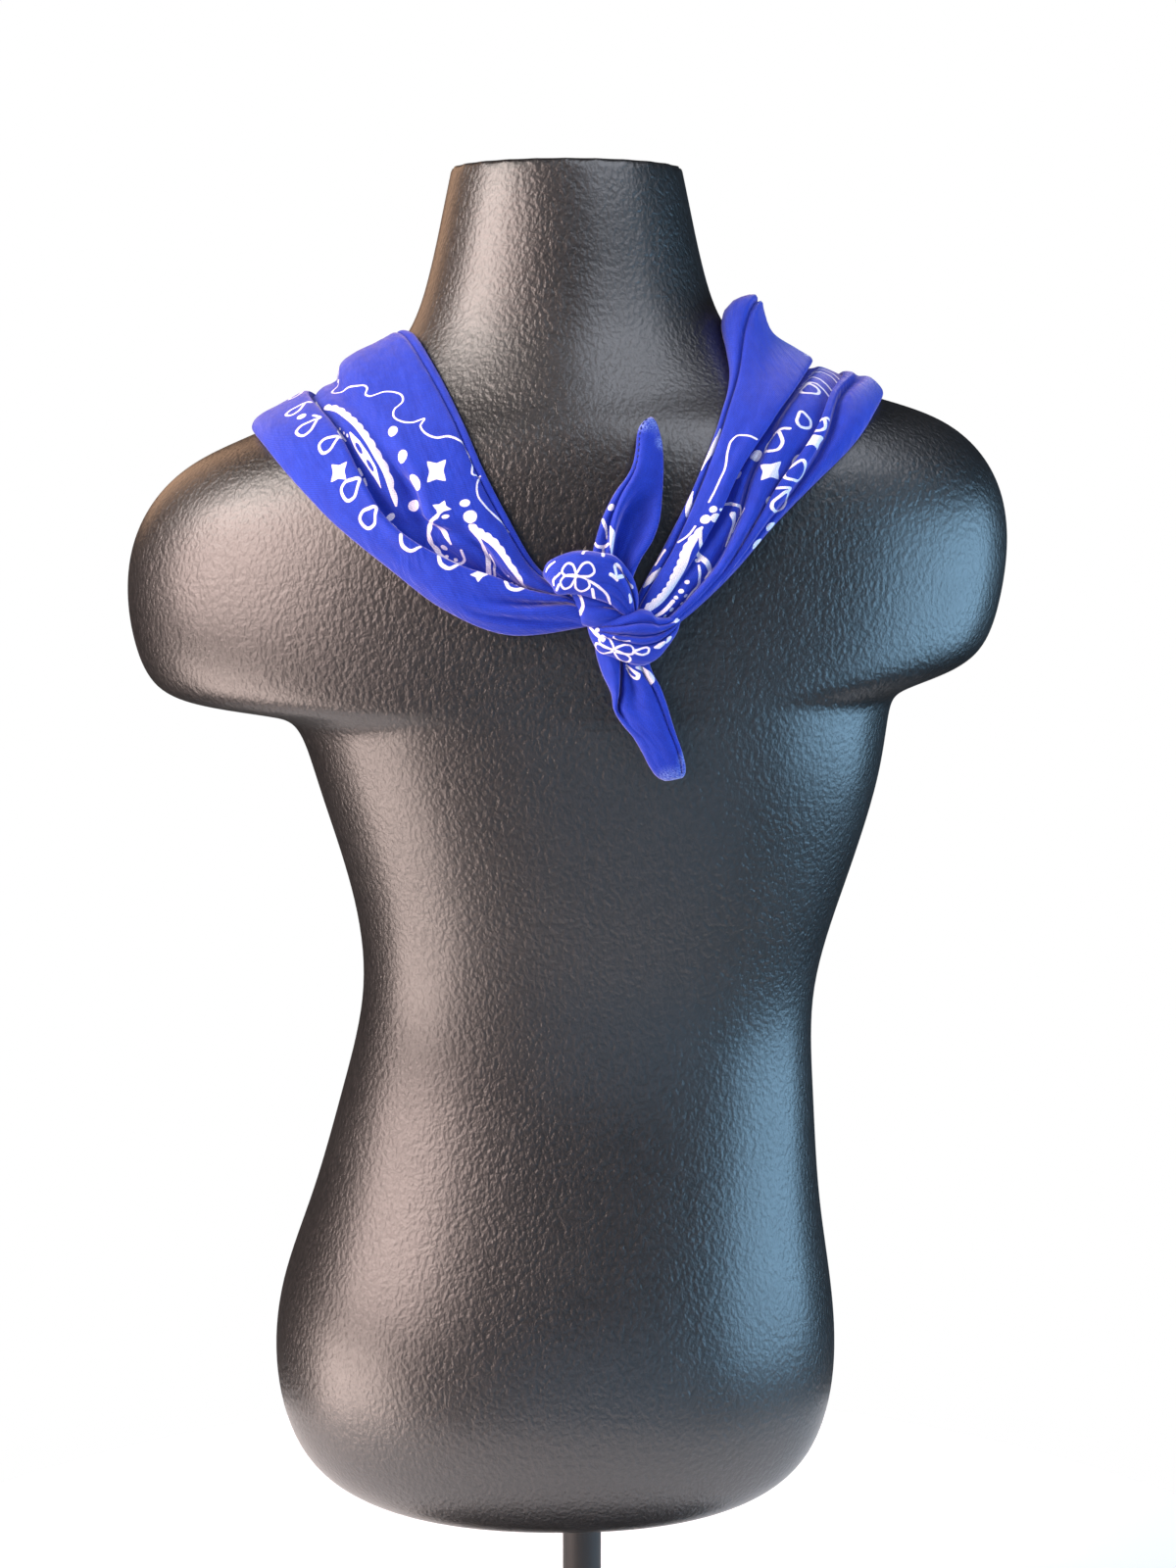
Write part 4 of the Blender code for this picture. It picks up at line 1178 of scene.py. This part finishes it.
KNOT_INK = 1.15
UPPER_PRINT = (
    (3.48, 6.78, -140, drop(8, 6, KNOT_INK)),
    (3.48, 6.78, -34, drop(10, 6.4, KNOT_INK)),
    (3.48, 6.78, 150, drop(8.4, 6.6, KNOT_INK)),
    (3.48, 6.78, 52, drop(8.6, 7.4, KNOT_INK)),
    (6.2, 6.2, -80, drop(7.4, 5.4, 1.8, -0.7)),
)
UPPER_LINES = (
    (((2.3, 6.2), (1.6, 7.2), (1.6, 8.0)), stroke, 1.2),
    (((2.2, 7.6), (1.95, 8.7)), stroke, 1.2),
    (((4.41, 7.16), (5.12, 7.62), (5.69, 8.4), (6.06, 9.7)), stroke, (1.2, 1.4, 1.4, 1.8)),
    (((4.67, 8.1), (4.85, 9.7)), stroke, 1.7),
    (((6.5, 4.9), (6.99, 4.42), (7.41, 3.7)), stroke, 1.1),
    (((7.35, 6.2), (7.71, 6.25)), stroke, (1.4, 2.2)),
    (((3.9, 3.6), (4.0, 2.6), (4.3, 1.9)), stroke, 1.5),
    (((5.18, 1.6), (5.18, 3.2)), stroke, 1.8),
    (((1.9, 3.9), (1.2, 4.5), (0.7, 5.3)), stroke, (1, 1.4, 1)),
)
knot_upper = bandana_piece("knot_upper", upper_wrap, UPPER_PRINT, UPPER_LINES, ["knot_upper_wrap"])

MIDDLE_WRAP = (
    (1.8, 714.5, 7.4, 698.2),
    (3.6, 715.2, 8.6, 696.6),
    (7.5, 715, 11.5, 695.6),
    (12.5, 713, 16, 695.4),
    (18, 710.5, 21, 696.6),
    (24, 707.4, 26.5, 698.4),
    (28.8, 703.4, 30, 699.2),
    (32.4, 701.2, 32.8, 699.6),
)
MIDDLE_WRAP_FOLDS = (
    (
        (0.04, 3), (0, 6), (0.12, 7), (0.28, 7.2), (0.4, 7), (0.5, 7), (0.62, 7), (0.75, 7), (0.9, 6.4),
        (1, 5.4), (0.96, 4), (0.85, 3),
    ),
    (
        (0.04, 5), (0, 8.6), (0.12, 10.4), (0.28, 11), (0.4, 10.8), (0.5, 10.8), (0.62, 10.8),
        (0.75, 10.6), (0.9, 9.6), (1, 8), (0.96, 6.4), (0.85, 5.6),
    ),
    (
        (0.04, 7), (0, 10), (0.12, 12.6), (0.28, 13.6), (0.4, 13.4), (0.5, 13.4), (0.62, 13.6),
        (0.75, 13.4), (0.9, 12), (1, 9.8), (0.96, 8), (0.85, 7),
    ),
    (
        (0.04, 8), (0, 11), (0.12, 13.6), (0.28, 14.4), (0.4, 13.8), (0.48, 14.2), (0.6, 14.6),
        (0.75, 14.8), (0.9, 13), (1, 10.6), (0.96, 8.8), (0.85, 7.8),
    ),
    (
        (0.04, 8), (0, 11), (0.12, 13.4), (0.26, 14), (0.38, 12.6), (0.46, 13.6), (0.56, 14.2),
        (0.72, 14.8), (0.9, 13.2), (1, 10.8), (0.96, 9), (0.85, 8),
    ),
    (
        (0.04, 8), (0, 10.4), (0.12, 12.4), (0.26, 12.8), (0.38, 10.8), (0.47, 12.2), (0.56, 11.6),
        (0.72, 13), (0.9, 11.8), (1, 10), (0.96, 8.6), (0.85, 7.8),
    ),
    (
        (0.04, 7.6), (0, 9.4), (0.12, 10.8), (0.26, 11), (0.38, 9.4), (0.47, 10.6), (0.56, 9.8),
        (0.72, 11), (0.9, 10.2), (1, 9), (0.96, 8), (0.85, 7.4),
    ),
    (
        (0.04, 7), (0, 8), (0.12, 9), (0.26, 9.2), (0.38, 8.6), (0.47, 9), (0.56, 8.6), (0.72, 9),
        (0.9, 8.6), (1, 7.8), (0.96, 7.2), (0.85, 6.8),
    ),
)
MIDDLE_WRAP_STEPS = (2, 2, 3, 3, 3, 3, 3, 3, 2, 2, 2)

MIDDLE_WRAP_CREASES = (
    (0.6, 2.5, 6.9, 2.9, 0.9, -1.1),
    (1.6, 4.6, 6.9, 4.2, 0.8, -0.8),
    (1.2, 6.4, 6.9, 5.6, 0.8, 0.6),
    (1.8, 8.0, 6.9, 7.2, 0.8, -0.9),
)

middle_wrap = wrap(skin, MIDDLE_WRAP, MIDDLE_WRAP_FOLDS, MIDDLE_WRAP_STEPS, creases=MIDDLE_WRAP_CREASES)

MIDDLE_LINES = (
    (((0.3, 2.2), (0.2, 3.4)), stroke, 1.4),
    (((1.5, 2.2), (1.9, 3.4), (1.9, 4.7), (1.2, 6.7)), stroke, (1.6, 1.9, 2)),
)
knot_middle = bandana_piece("knot_middle", middle_wrap, (), MIDDLE_LINES, ["knot_middle_wrap"])

LOWER_WRAP = (
    (11.6, 697.2, 11.4, 694.6),
    (14.2, 698.2, 13.2, 688.8),
    (19.5, 699.2, 17, 682.9),
    (26, 700.4, 23, 680.4),
    (32, 702, 30, 677.9),
    (37.2, 703.6, 37.5, 676.0),
    (41.8, 702.6, 45.5, 679.4),
    (45, 699.6, 51, 685.6),
    (51.5, 699.2, 55.4, 692),
    (56.8, 699.6, 57.2, 697.4),
)
LOWER_WRAP_FOLDS = (
    (
        (0.1, 4), (0, 6.5), (0.1, 7.5), (0.2, 7.6), (0.3, 7.6), (0.42, 7.6), (0.5, 7.6), (0.6, 7.6),
        (0.66, 7.4), (0.78, 7), (0.92, 6.2), (1, 5), (0.96, 3.6), (0.85, 2.6),
    ),
    (
        (0.1, 6), (0, 8.4), (0.1, 10), (0.2, 10.2), (0.3, 10.4), (0.4, 10), (0.48, 10.4), (0.56, 10.2),
        (0.64, 10.4), (0.78, 10), (0.92, 8.8), (1, 7), (0.96, 5), (0.85, 3.8),
    ),
    (
        (0.08, 7), (0, 9.4), (0.08, 11.6), (0.17, 12.6), (0.24, 11.4), (0.32, 13), (0.4, 11.8),
        (0.46, 12.6), (0.54, 12.6), (0.72, 13), (0.9, 11), (1, 8.4), (0.97, 6), (0.86, 4.6),
    ),
    (
        (0.08, 8), (0, 10), (0.07, 13), (0.16, 14.6), (0.24, 13.4), (0.32, 15.6), (0.43, 12.8),
        (0.5, 14.8), (0.56, 13.2), (0.72, 14.8), (0.9, 12.6), (1, 9.4), (0.97, 6.6), (0.86, 5),
    ),
    (
        (0.08, 8), (0, 10.4), (0.06, 13.6), (0.14, 15.6), (0.22, 14), (0.32, 17), (0.445, 13.2),
        (0.52, 16), (0.6, 13.4), (0.74, 15.4), (0.9, 13.2), (1, 9.8), (0.97, 6.8), (0.86, 5.2),
    ),
    (
        (0.08, 8), (0, 10.4), (0.06, 13.6), (0.14, 15.4), (0.22, 13.8), (0.33, 17), (0.47, 13.2),
        (0.55, 16), (0.63, 13.6), (0.76, 15), (0.9, 12.8), (1, 9.4), (0.97, 6.6), (0.86, 5),
    ),
    (
        (0.08, 8), (0, 10.2), (0.07, 13.2), (0.16, 14.6), (0.24, 13), (0.35, 16), (0.49, 12.6),
        (0.57, 15), (0.66, 13), (0.78, 14), (0.91, 12), (1, 8.8), (0.97, 6.2), (0.86, 4.8),
    ),
    (
        (0.08, 8), (0, 10), (0.09, 12.4), (0.19, 13.2), (0.27, 11.8), (0.37, 14.4), (0.5, 11.8),
        (0.6, 13.8), (0.69, 12.2), (0.8, 12.8), (0.92, 11), (1, 8.2), (0.97, 6), (0.86, 4.6),
    ),
    (
        (0.1, 7.4), (0, 8.8), (0.12, 10.4), (0.22, 10.6), (0.3, 9.8), (0.4, 11.4), (0.52, 9.8),
        (0.62, 11), (0.7, 10), (0.82, 10.2), (0.93, 9), (1, 7), (0.97, 5.4), (0.86, 4.4),
    ),
    (
        (0.1, 6), (0, 7), (0.12, 7.8), (0.22, 7.8), (0.3, 7.6), (0.4, 7.8), (0.52, 7.4), (0.62, 7.6),
        (0.7, 7.4), (0.82, 7.2), (0.93, 6.6), (1, 5.6), (0.97, 4.6), (0.86, 4),
    ),
)
LOWER_WRAP_STEPS = (2, 2, 3, 3, 3, 3, 3, 3, 3, 3, 3, 3, 2)

LOWER_WRAP_CREASES = (
    (0.8, 2.6, 8.6, 3.2, 0.7, -0.7),
    (1.2, 4.0, 8.6, 4.0, 0.6, -1.0),
    (1.2, 6.0, 8.6, 6.0, 0.6, -1.2),
    (1.2, 8.0, 8.6, 8.0, 0.6, -1.2),
    (2.0, 5.4, 8.2, 5.0, 0.5, 0.5),
    (1.6, 8.9, 8.4, 8.8, 0.7, 0.6),
)

lower_wrap = wrap(skin, LOWER_WRAP, LOWER_WRAP_FOLDS, LOWER_WRAP_STEPS, creases=LOWER_WRAP_CREASES)

LOWER_PRINT = (
    (3.06, 9.37, -152, drop(9, 5.4, KNOT_INK)),
    (3.0, 9.6, 168, drop(9.6, 5.6, KNOT_INK)),
    (3.1, 9.3, -13, drop(9.6, 4.8, KNOT_INK)),
    (3.15, 9.7, 24, drop(8.4, 5.8, KNOT_INK)),
    (4.44, 9.0, -8, drop(8, 3.2, KNOT_INK)),
    (1.5, 5.6, 30, disc(2.2, 3)),
)
LOWER_LINES = (
    (((5.9, 8.7), (6.76, 9.0)), stroke, (1, 2.6, 1.4)),
    (((6.95, 9.2), (7.39, 9.1)), stroke, (1.4, 2.2, 1.2)),
    (((8.1, 4.2), (8.7, 4.3)), stroke, (2.4, 3)),
    (((0.5, 5.2), (1.5, 7.6), (2.22, 8.5)), stroke, 1.7),
    (((2.9, 7.2), (3.5, 7.8), (4.1, 7.3)), stroke, (1, 1.9, 1.2)),
)
knot_lower = bandana_piece("knot_lower", lower_wrap, LOWER_PRINT, LOWER_LINES, ["knot_lower_wrap"])


# ---- Bandana, the two ends ----
# The square's corners stick out of the knot, one up and one down. Each is two layers, folded along
# one edge, with a narrow stitched hem along the other.

TAIL_STEP = 1.6

TAIL_UP = (
    # left_x, left_z, right_x, right_z
    (13.2, 727, 31.5, 714),
    (14.2, 733, 34.3, 722),
    (16, 740, 37.8, 729.4),
    (18.5, 747.9, 42.7, 737),
    (21.9, 755.3, 45.9, 744.9),
    (25.9, 762.2, 47.4, 752.4),
    (30.3, 767.7, 48.2, 760.8),
    (33.6, 773.6, 48.7, 768.3),
    (35.3, 780.8, 48.8, 777.2),
    (36, 788, 48.2, 785.2),
    (37.3, 792.4, 46.9, 790.4),
    (40, 795.3, 45.4, 794.7),
    (42, 796.7, 44, 796.7),
)
TAIL_UP_FOLDS = (
    (
        (0.12, 4), (0, 6), (0.1, 8.6), (0.26, 7.6), (0.36, 9.8), (0.42, 6.6), (0.48, 3), (0.6, 3.4),
        (0.7, 2.6), (0.82, 6), (0.93, 8.6), (1, 7.6), (0.94, 5.6),
    ),
    (
        (0.12, 4), (0, 6), (0.09, 8.6), (0.25, 7), (0.37, 10.4), (0.42, 7), (0.47, 2.2), (0.6, 3.2),
        (0.7, 2), (0.82, 5.4), (0.93, 8.6), (1, 7.6), (0.94, 5.6),
    ),
    (
        (0.12, 4), (0, 6), (0.08, 8.6), (0.2, 6.4), (0.31, 10.8), (0.355, 7.6), (0.4, 1.8), (0.57, 2.6),
        (0.69, 1.6), (0.81, 4.8), (0.93, 8.4), (1, 7.6), (0.94, 5.6),
    ),
    (
        (0.1, 3.6), (0, 5.8), (0.07, 8.4), (0.15, 6.2), (0.24, 11), (0.285, 8.4), (0.34, 1.8),
        (0.53, 2.2), (0.67, 1.6), (0.8, 4.4), (0.93, 8), (1, 7.4), (0.94, 5.2),
    ),
    (
        (0.1, 3.4), (0, 5.6), (0.06, 8.2), (0.13, 6.6), (0.2, 11), (0.26, 9), (0.33, 2.6), (0.5, 1.8),
        (0.65, 1.8), (0.8, 4), (0.93, 6.8), (1, 6.6), (0.94, 4.8),
    ),
    (
        (0.1, 3.2), (0, 5.4), (0.06, 8.2), (0.12, 7), (0.18, 10.8), (0.27, 9.8), (0.38, 5.4), (0.5, 3),
        (0.64, 2.4), (0.79, 3.6), (0.92, 5.6), (1, 5.4), (0.94, 4),
    ),
    (
        (0.1, 3), (0, 5.4), (0.055, 8.2), (0.115, 7.4), (0.175, 10.2), (0.28, 9.8), (0.4, 7.8),
        (0.53, 5.8), (0.66, 4.4), (0.79, 3.9), (0.91, 4.2), (1, 4.2), (0.94, 3.2),
    ),
    (
        (0.1, 3), (0, 5.2), (0.05, 7.8), (0.11, 7.6), (0.17, 9.4), (0.29, 9.3), (0.41, 8.2),
        (0.54, 6.8), (0.67, 5.4), (0.79, 4.4), (0.9, 3.8), (1, 3.6), (0.94, 3),
    ),
    (
        (0.1, 3), (0, 5), (0.045, 7.2), (0.1, 7.4), (0.16, 8.6), (0.29, 8.5), (0.41, 7.7), (0.54, 6.6),
        (0.67, 5.4), (0.79, 4.5), (0.9, 3.9), (1, 3.5), (0.94, 2.9),
    ),
    (
        (0.1, 3), (0, 4.8), (0.045, 6.6), (0.095, 6.8), (0.16, 7.6), (0.28, 7.6), (0.4, 7.1),
        (0.53, 6.3), (0.66, 5.4), (0.78, 4.7), (0.9, 4.1), (1, 3.7), (0.94, 3),
    ),
    (
        (0.1, 3), (0, 4.6), (0.05, 6), (0.11, 6.2), (0.18, 6.7), (0.3, 6.8), (0.42, 6.5), (0.54, 5.9),
        (0.66, 5.3), (0.78, 4.7), (0.9, 4.2), (1, 3.8), (0.94, 3),
    ),
    (
        (0.1, 3), (0, 4.2), (0.07, 5.3), (0.14, 5.5), (0.21, 5.8), (0.32, 5.8), (0.43, 5.7),
        (0.54, 5.4), (0.66, 5), (0.78, 4.7), (0.9, 4.3), (1, 3.8), (0.94, 3),
    ),
    (
        (0.1, 3), (0, 3.7), (0.1, 4.5), (0.2, 4.6), (0.3, 4.8), (0.4, 4.8), (0.5, 4.8), (0.6, 4.7),
        (0.7, 4.6), (0.8, 4.5), (0.9, 4.2), (1, 3.8), (0.94, 3),
    ),
)
TAIL_UP_STEPS = (2, 2, 2, 2, 2, 3, 3, 3, 3, 3, 2, 2)
TAIL_UP_CREASES = (
    (0.6, 7.4, 4.2, 7.6, 1.6, 1.4),
    (6.4, 7.0, 8.8, 8.4, 1.2, 0.4),
)

tail_up = wrap(skin, TAIL_UP, TAIL_UP_FOLDS, TAIL_UP_STEPS, TAIL_STEP, TAIL_UP_CREASES)

TAIL_UP_PRINT = ((3.86, 2.0, 20, disc(3.8, 3.2)),)
TAIL_UP_LINES = (
    (((3.0, 1.4), (2.6, 2.4), (2.15, 3.1)), stroke, (1.6, 1.9, 1.7)),
    (((2.8, 3.4), (2.35, 4.1), (1.85, 4.5), (1.4, 4.5)), stroke, (1.4, 4.6, 4.8, 2)),
    (((1.6, 1.0), (1.38, 1.7), (1.55, 2.8), (1.85, 3.6)), stroke, (1.2, 1.5, 1.7, 1.5)),
    (((1.45, 2.7), (0.9, 2.9)), stroke, 1.7),
)
# Rubbed pale, each round a station and fold, as far as this reach in millimetres.
TAIL_UP_WORN = ((12, 6, 11), (10, 3, 5), (9, 11, 5))
TAIL_UP_SEAM = ((4.6, 3.0), (6.0, 3.0), (7.0, 2.9), (8.0, 2.9), (9.0, 2.8), (10.0, 2.9), (11.2, 3.4))
end_up = bandana_piece("end_up", tail_up, TAIL_UP_PRINT, TAIL_UP_LINES, ["tail_up"], TAIL_UP_WORN)


def blue_sewing_thread():
    """Spun polyester thread in navy: dull, with a twist about 0.6 mm long."""
    made, tree = new_material("blue_sewing_thread")
    place = node(tree, "ShaderNodeTexCoord").outputs["Object"]
    twist_size = {"Vector": place, "Scale": 2 * math.pi / (WAVE_BANDS * 0.6 * MM), "Distortion": 1.0}
    twist = node(tree, "ShaderNodeTexWave", twist_size).outputs["Fac"]
    twist_depth = {"Height": twist, "Strength": 0.4, "Distance": 0.08 * MM}
    # The thread is coloured darker in the grooves of its twist than on its strands: painted shade in the
    # grooves.
    tone = node(tree, "ShaderNodeValToRGB", {"Fac": twist}, ((0.0, "#061252"), (1.0, "#0c1f74")))
    settings = {
        "Base Color": tone.outputs["Color"],
        "Roughness": 0.7,
        "IOR": 1.5,
        "Normal": node(tree, "ShaderNodeBump", twist_depth).outputs["Normal"],
    }
    finish_material(tree, settings)
    return made


thread = blue_sewing_thread()


SEAM_SAMPLES = 200
ACROSS_STEP = 0.3


def sewn_line(name, laid, path, pitch, length, width):
    """A row of stitches along a path of stations and folds, each a short thread that dips in at both
    ends."""
    spots = np.array([laid.spot(station, fold) for station, fold in path])
    places = np.linspace(0, distances(spots)[-1], SEAM_SAMPLES)
    places = smooth_curve(distances(spots), spots, places)
    line, turned = between(laid.grid, *places.T), between(laid.grid, *(places + (0, ACROSS_STEP)).T)
    run = distances(line)
    shape = bmesh.new()
    for middle in np.arange(pitch / 2, run[-1], pitch):
        k = int(np.searchsorted(run, middle))
        along = Vector(line[min(k + 2, SEAM_SAMPLES - 1)] - line[k - 2])
        across = Vector(turned[k] - line[k])
        up = along.cross(across).normalized()
        up *= -1 if up.y > 0 else 1
        place = Vector(line[k]) + up * (CLOTH_THICKNESS / 2)
        turn = Matrix((along.normalized(), up.cross(along).normalized(), up)).transposed().to_4x4()
        size = Matrix.Diagonal((length / 2, width / 2, width / 2, 1 / MM))
        stitch = Matrix.Translation(place * MM) @ turn @ (size * MM)
        bmesh.ops.create_uvsphere(shape, u_segments=8, v_segments=6, radius=1, matrix=stitch)
    obj = shape_object(name, shape, thread)
    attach(obj, "root")
    return obj


up_stitches = sewn_line(
    "end_up_stitches", tail_up, TAIL_UP_SEAM, pitch=3.1, length=2.0, width=1.0
)

TAIL_DOWN = (
    (16, 692, 44, 690),
    (15.4, 683.2, 41.4, 680.5),
    (18.6, 671.8, 43.4, 672),
    (23.2, 661.6, 47.4, 664.4),
    (24.6, 653, 50.6, 655.8),
    (28.6, 646.2, 53.2, 647.2),
    (34.4, 639.4, 55.8, 639.4),
    (38.8, 632, 58.4, 632.2),
    (42.6, 624.4, 60.2, 625),
    (46.4, 619, 60.4, 620.4),
    (50.4, 616.8, 59, 618.2),
)
TAIL_DOWN_FOLDS = (
    (
        (0.1, 3), (0, 5), (0.1, 7.4), (0.24, 8.6), (0.36, 8), (0.44, 5), (0.5, 7.2), (0.58, 6.6),
        (0.68, 8.2), (0.77, 8), (0.83, 6.6), (0.92, 7.8), (1, 5), (0.94, 3),
    ),
    (
        (0.1, 3), (0, 5), (0.1, 8), (0.26, 9.6), (0.4, 9), (0.48, 3.6), (0.54, 7), (0.6, 6),
        (0.69, 8.2), (0.77, 7.8), (0.82, 6), (0.92, 7.8), (1, 5), (0.94, 3),
    ),
    (
        (0.1, 3), (0, 4.8), (0.08, 7.8), (0.2, 9.6), (0.31, 9), (0.38, 2.2), (0.45, 6.6), (0.54, 5),
        (0.65, 7.8), (0.76, 7.6), (0.82, 5.4), (0.91, 7.6), (1, 5), (0.94, 3),
    ),
    (
        (0.1, 3), (0, 4.6), (0.04, 7), (0.09, 8.8), (0.13, 8.2), (0.17, 1.8), (0.28, 6.6), (0.47, 4.6),
        (0.62, 7.4), (0.77, 7.4), (0.855, 5.2), (0.925, 7.2), (1, 4.8), (0.94, 3),
    ),
    (
        (0.1, 2.8), (0, 4.4), (0.015, 5.6), (0.03, 6.2), (0.045, 5.4), (0.07, 2.4), (0.2, 6.6),
        (0.42, 6.2), (0.6, 7.8), (0.78, 7.4), (0.885, 5.2), (0.935, 6.8), (1, 4.6), (0.94, 3),
    ),
    (
        (0.1, 2.8), (0, 4.2), (0.02, 5.2), (0.045, 5.8), (0.075, 5.8), (0.12, 5.4), (0.26, 7.2),
        (0.44, 7.6), (0.62, 8), (0.79, 7.2), (0.895, 5.2), (0.94, 6.4), (1, 4.4), (0.94, 3),
    ),
    (
        (0.1, 2.8), (0, 4.2), (0.03, 5.2), (0.07, 6), (0.12, 6.4), (0.19, 6.8), (0.32, 7.4),
        (0.48, 7.8), (0.64, 7.8), (0.8, 7), (0.9, 5.2), (0.94, 6.2), (1, 4.4), (0.94, 3),
    ),
    (
        (0.1, 2.8), (0, 4), (0.035, 5), (0.08, 5.8), (0.14, 6.3), (0.22, 6.6), (0.34, 7.2), (0.5, 7.5),
        (0.65, 7.4), (0.8, 6.7), (0.895, 5), (0.94, 5.9), (1, 4.2), (0.94, 3),
    ),
    (
        (0.1, 2.8), (0, 4), (0.04, 4.9), (0.09, 5.5), (0.15, 6), (0.24, 6.3), (0.36, 6.7), (0.5, 6.9),
        (0.65, 6.7), (0.79, 6.1), (0.89, 4.9), (0.935, 5.6), (1, 4.1), (0.94, 3),
    ),
    (
        (0.1, 2.8), (0, 3.8), (0.05, 4.6), (0.1, 5), (0.17, 5.3), (0.26, 5.6), (0.38, 5.8), (0.5, 5.9),
        (0.64, 5.7), (0.77, 5.3), (0.87, 4.7), (0.925, 5), (1, 3.9), (0.94, 3),
    ),
    (
        (0.1, 2.8), (0, 3.6), (0.06, 4), (0.12, 4.3), (0.2, 4.5), (0.28, 4.7), (0.4, 4.8), (0.5, 4.8),
        (0.62, 4.7), (0.74, 4.6), (0.84, 4.4), (0.92, 4.3), (1, 3.7), (0.94, 2.9),
    ),
)
TAIL_DOWN_STEPS = (2, 2, 2, 2, 3, 3, 3, 3, 3, 3, 2, 2, 2)
TAIL_DOWN_CREASES = (
    (4.2, 5.6, 6.4, 6.6, 0.9, -0.5),
    (4.8, 5.2, 7.4, 6.4, 0.9, 0.4),
    (5.4, 4.8, 8.2, 7.2, 1.0, -0.4),
)

tail_down = wrap(skin, TAIL_DOWN, TAIL_DOWN_FOLDS, TAIL_DOWN_STEPS, TAIL_STEP, TAIL_DOWN_CREASES)

TAIL_DOWN_LINES = (
    (((1.6, 6.4), (1.8, 7.6), (2.1, 8.5)), stroke, (1, 1.5, 2)),
    (((2.1, 8.5), (2.3, 8.1), (2.06, 7.0), (1.75, 6.4)), stroke, (2, 1.6, 1.2, 1)),
    (((1.7, 8.6), (1.85, 10.2), (2.3, 10.9), (2.75, 10.0)), stroke, (1.4, 4, 5.4, 1.6)),
)
TAIL_DOWN_WORN = ((10, 5, 9), (10, 11, 9), (7.6, 12, 5))
TAIL_DOWN_SEAM = ((4.2, 10.0), (5.0, 10.0), (6.0, 10.0), (7.0, 10.0), (8.0, 10.0), (9.3, 10.0))
end_down = bandana_piece("end_down", tail_down, (), TAIL_DOWN_LINES, ["tail_down"], TAIL_DOWN_WORN)
down_stitches = sewn_line(
    "end_down_stitches", tail_down, TAIL_DOWN_SEAM, pitch=2.6, length=1.6, width=0.7
)


# ---- Studio ----
# A white disc as the floor, and a white surround that gives hardly any light. A large warm window high
# on the left is the main light, a blue one on the right gives the rim, and small ones fill in from
# above, below and behind.


def pale_floor():
    """Matt white paper, lifted by a little light of its own so that it stays near white."""
    made, tree = new_material("pale_floor")
    settings = {
        "Base Color": srgb("#f6f6f6"),
        "Roughness": 0.9,
        "Emission Color": srgb("#ffffff"),
        "Emission Strength": 0.3,
    }
    finish_material(tree, settings)
    return made


FLOOR_RADIUS = 620

floor_shape = bmesh.new()
bmesh.ops.create_circle(floor_shape, cap_ends=True, segments=96, radius=FLOOR_RADIUS * MM)
floor = shape_object("floor", floor_shape, pale_floor())


def soft_light(name, place, aim, size, power, colour):
    """A soft box at a place in metres, turned to its aim, with its width and height and its watts."""
    lamp = bpy.data.lights.new(name, "AREA")
    lamp.shape = "RECTANGLE"
    lamp.size, lamp.size_y = size
    lamp.energy = power
    lamp.color = srgb(colour)[:3]
    obj = add_object(name, lamp)
    obj.location = place
    obj.rotation_euler = (Vector(aim) - Vector(place)).to_track_quat("-Z", "Y").to_euler()


soft_light("left_window", (-1.6, -0.98, 1.25), (0, 0, 0.7), (1.6, 1.4), 71, "#ffe3da")
soft_light("left_low", (-1.31, -0.53, -0.05), (0, 0, 0.7), (1.0, 0.7), 20, "#ffe6dc")
soft_light("left_high", (-1.48, -0.48, 2.1), (0, 0, 0.75), (1.0, 1.0), 29, "#fff4ec")
soft_light("right_high", (0.85, -0.85, 2.42), (0, 0, 0.75), (1.4, 1.4), 25, "#eef3ff")
soft_light("right_window", (1.9, -0.38, 0.55), (0, 0, 0.66), (1.9, 1.3), 46, "#a8daff")
soft_light("front_low", (0.4, -1.6, 0.0), (0.04, 0, 0.68), (1.5, 1.1), 4.5, "#bfe0ff")
soft_light("amber_light", (-1.22, 1.46, 1.59), (0, 0, 0.75), (1.0, 1.0), 5, "#ffcba3")

world = bpy.data.worlds.new("pale_surround")
bpy.context.scene.world = world
world.use_nodes = True
world.node_tree.nodes.clear()
seen = node(world.node_tree, "ShaderNodeLightPath").outputs["Is Camera Ray"]
lit = node(world.node_tree, "ShaderNodeBackground", {"Color": srgb("#f2f4f8"), "Strength": 0.02})
plain = node(world.node_tree, "ShaderNodeBackground", {"Color": srgb("#ffffff"), "Strength": 1.0})
shades = {0: seen, 1: lit.outputs["Background"], 2: plain.outputs["Background"]}
both = node(world.node_tree, "ShaderNodeMixShader", shades)
node(world.node_tree, "ShaderNodeOutputWorld", {"Surface": both.outputs["Shader"]})
bpy.context.scene.view_settings.view_transform = "Standard"

# The camera stands behind the form, 1.36 m from it, and looks down a little.
CAMERA_PITCH = 8

lens = bpy.data.cameras.new("camera")
lens.lens = 57
camera = add_object("camera", lens)
camera.location = (0.0115, -1.35667, 0.79067)
camera.rotation_euler = (math.radians(90 - CAMERA_PITCH), 0, 0)
bpy.context.scene.camera = camera
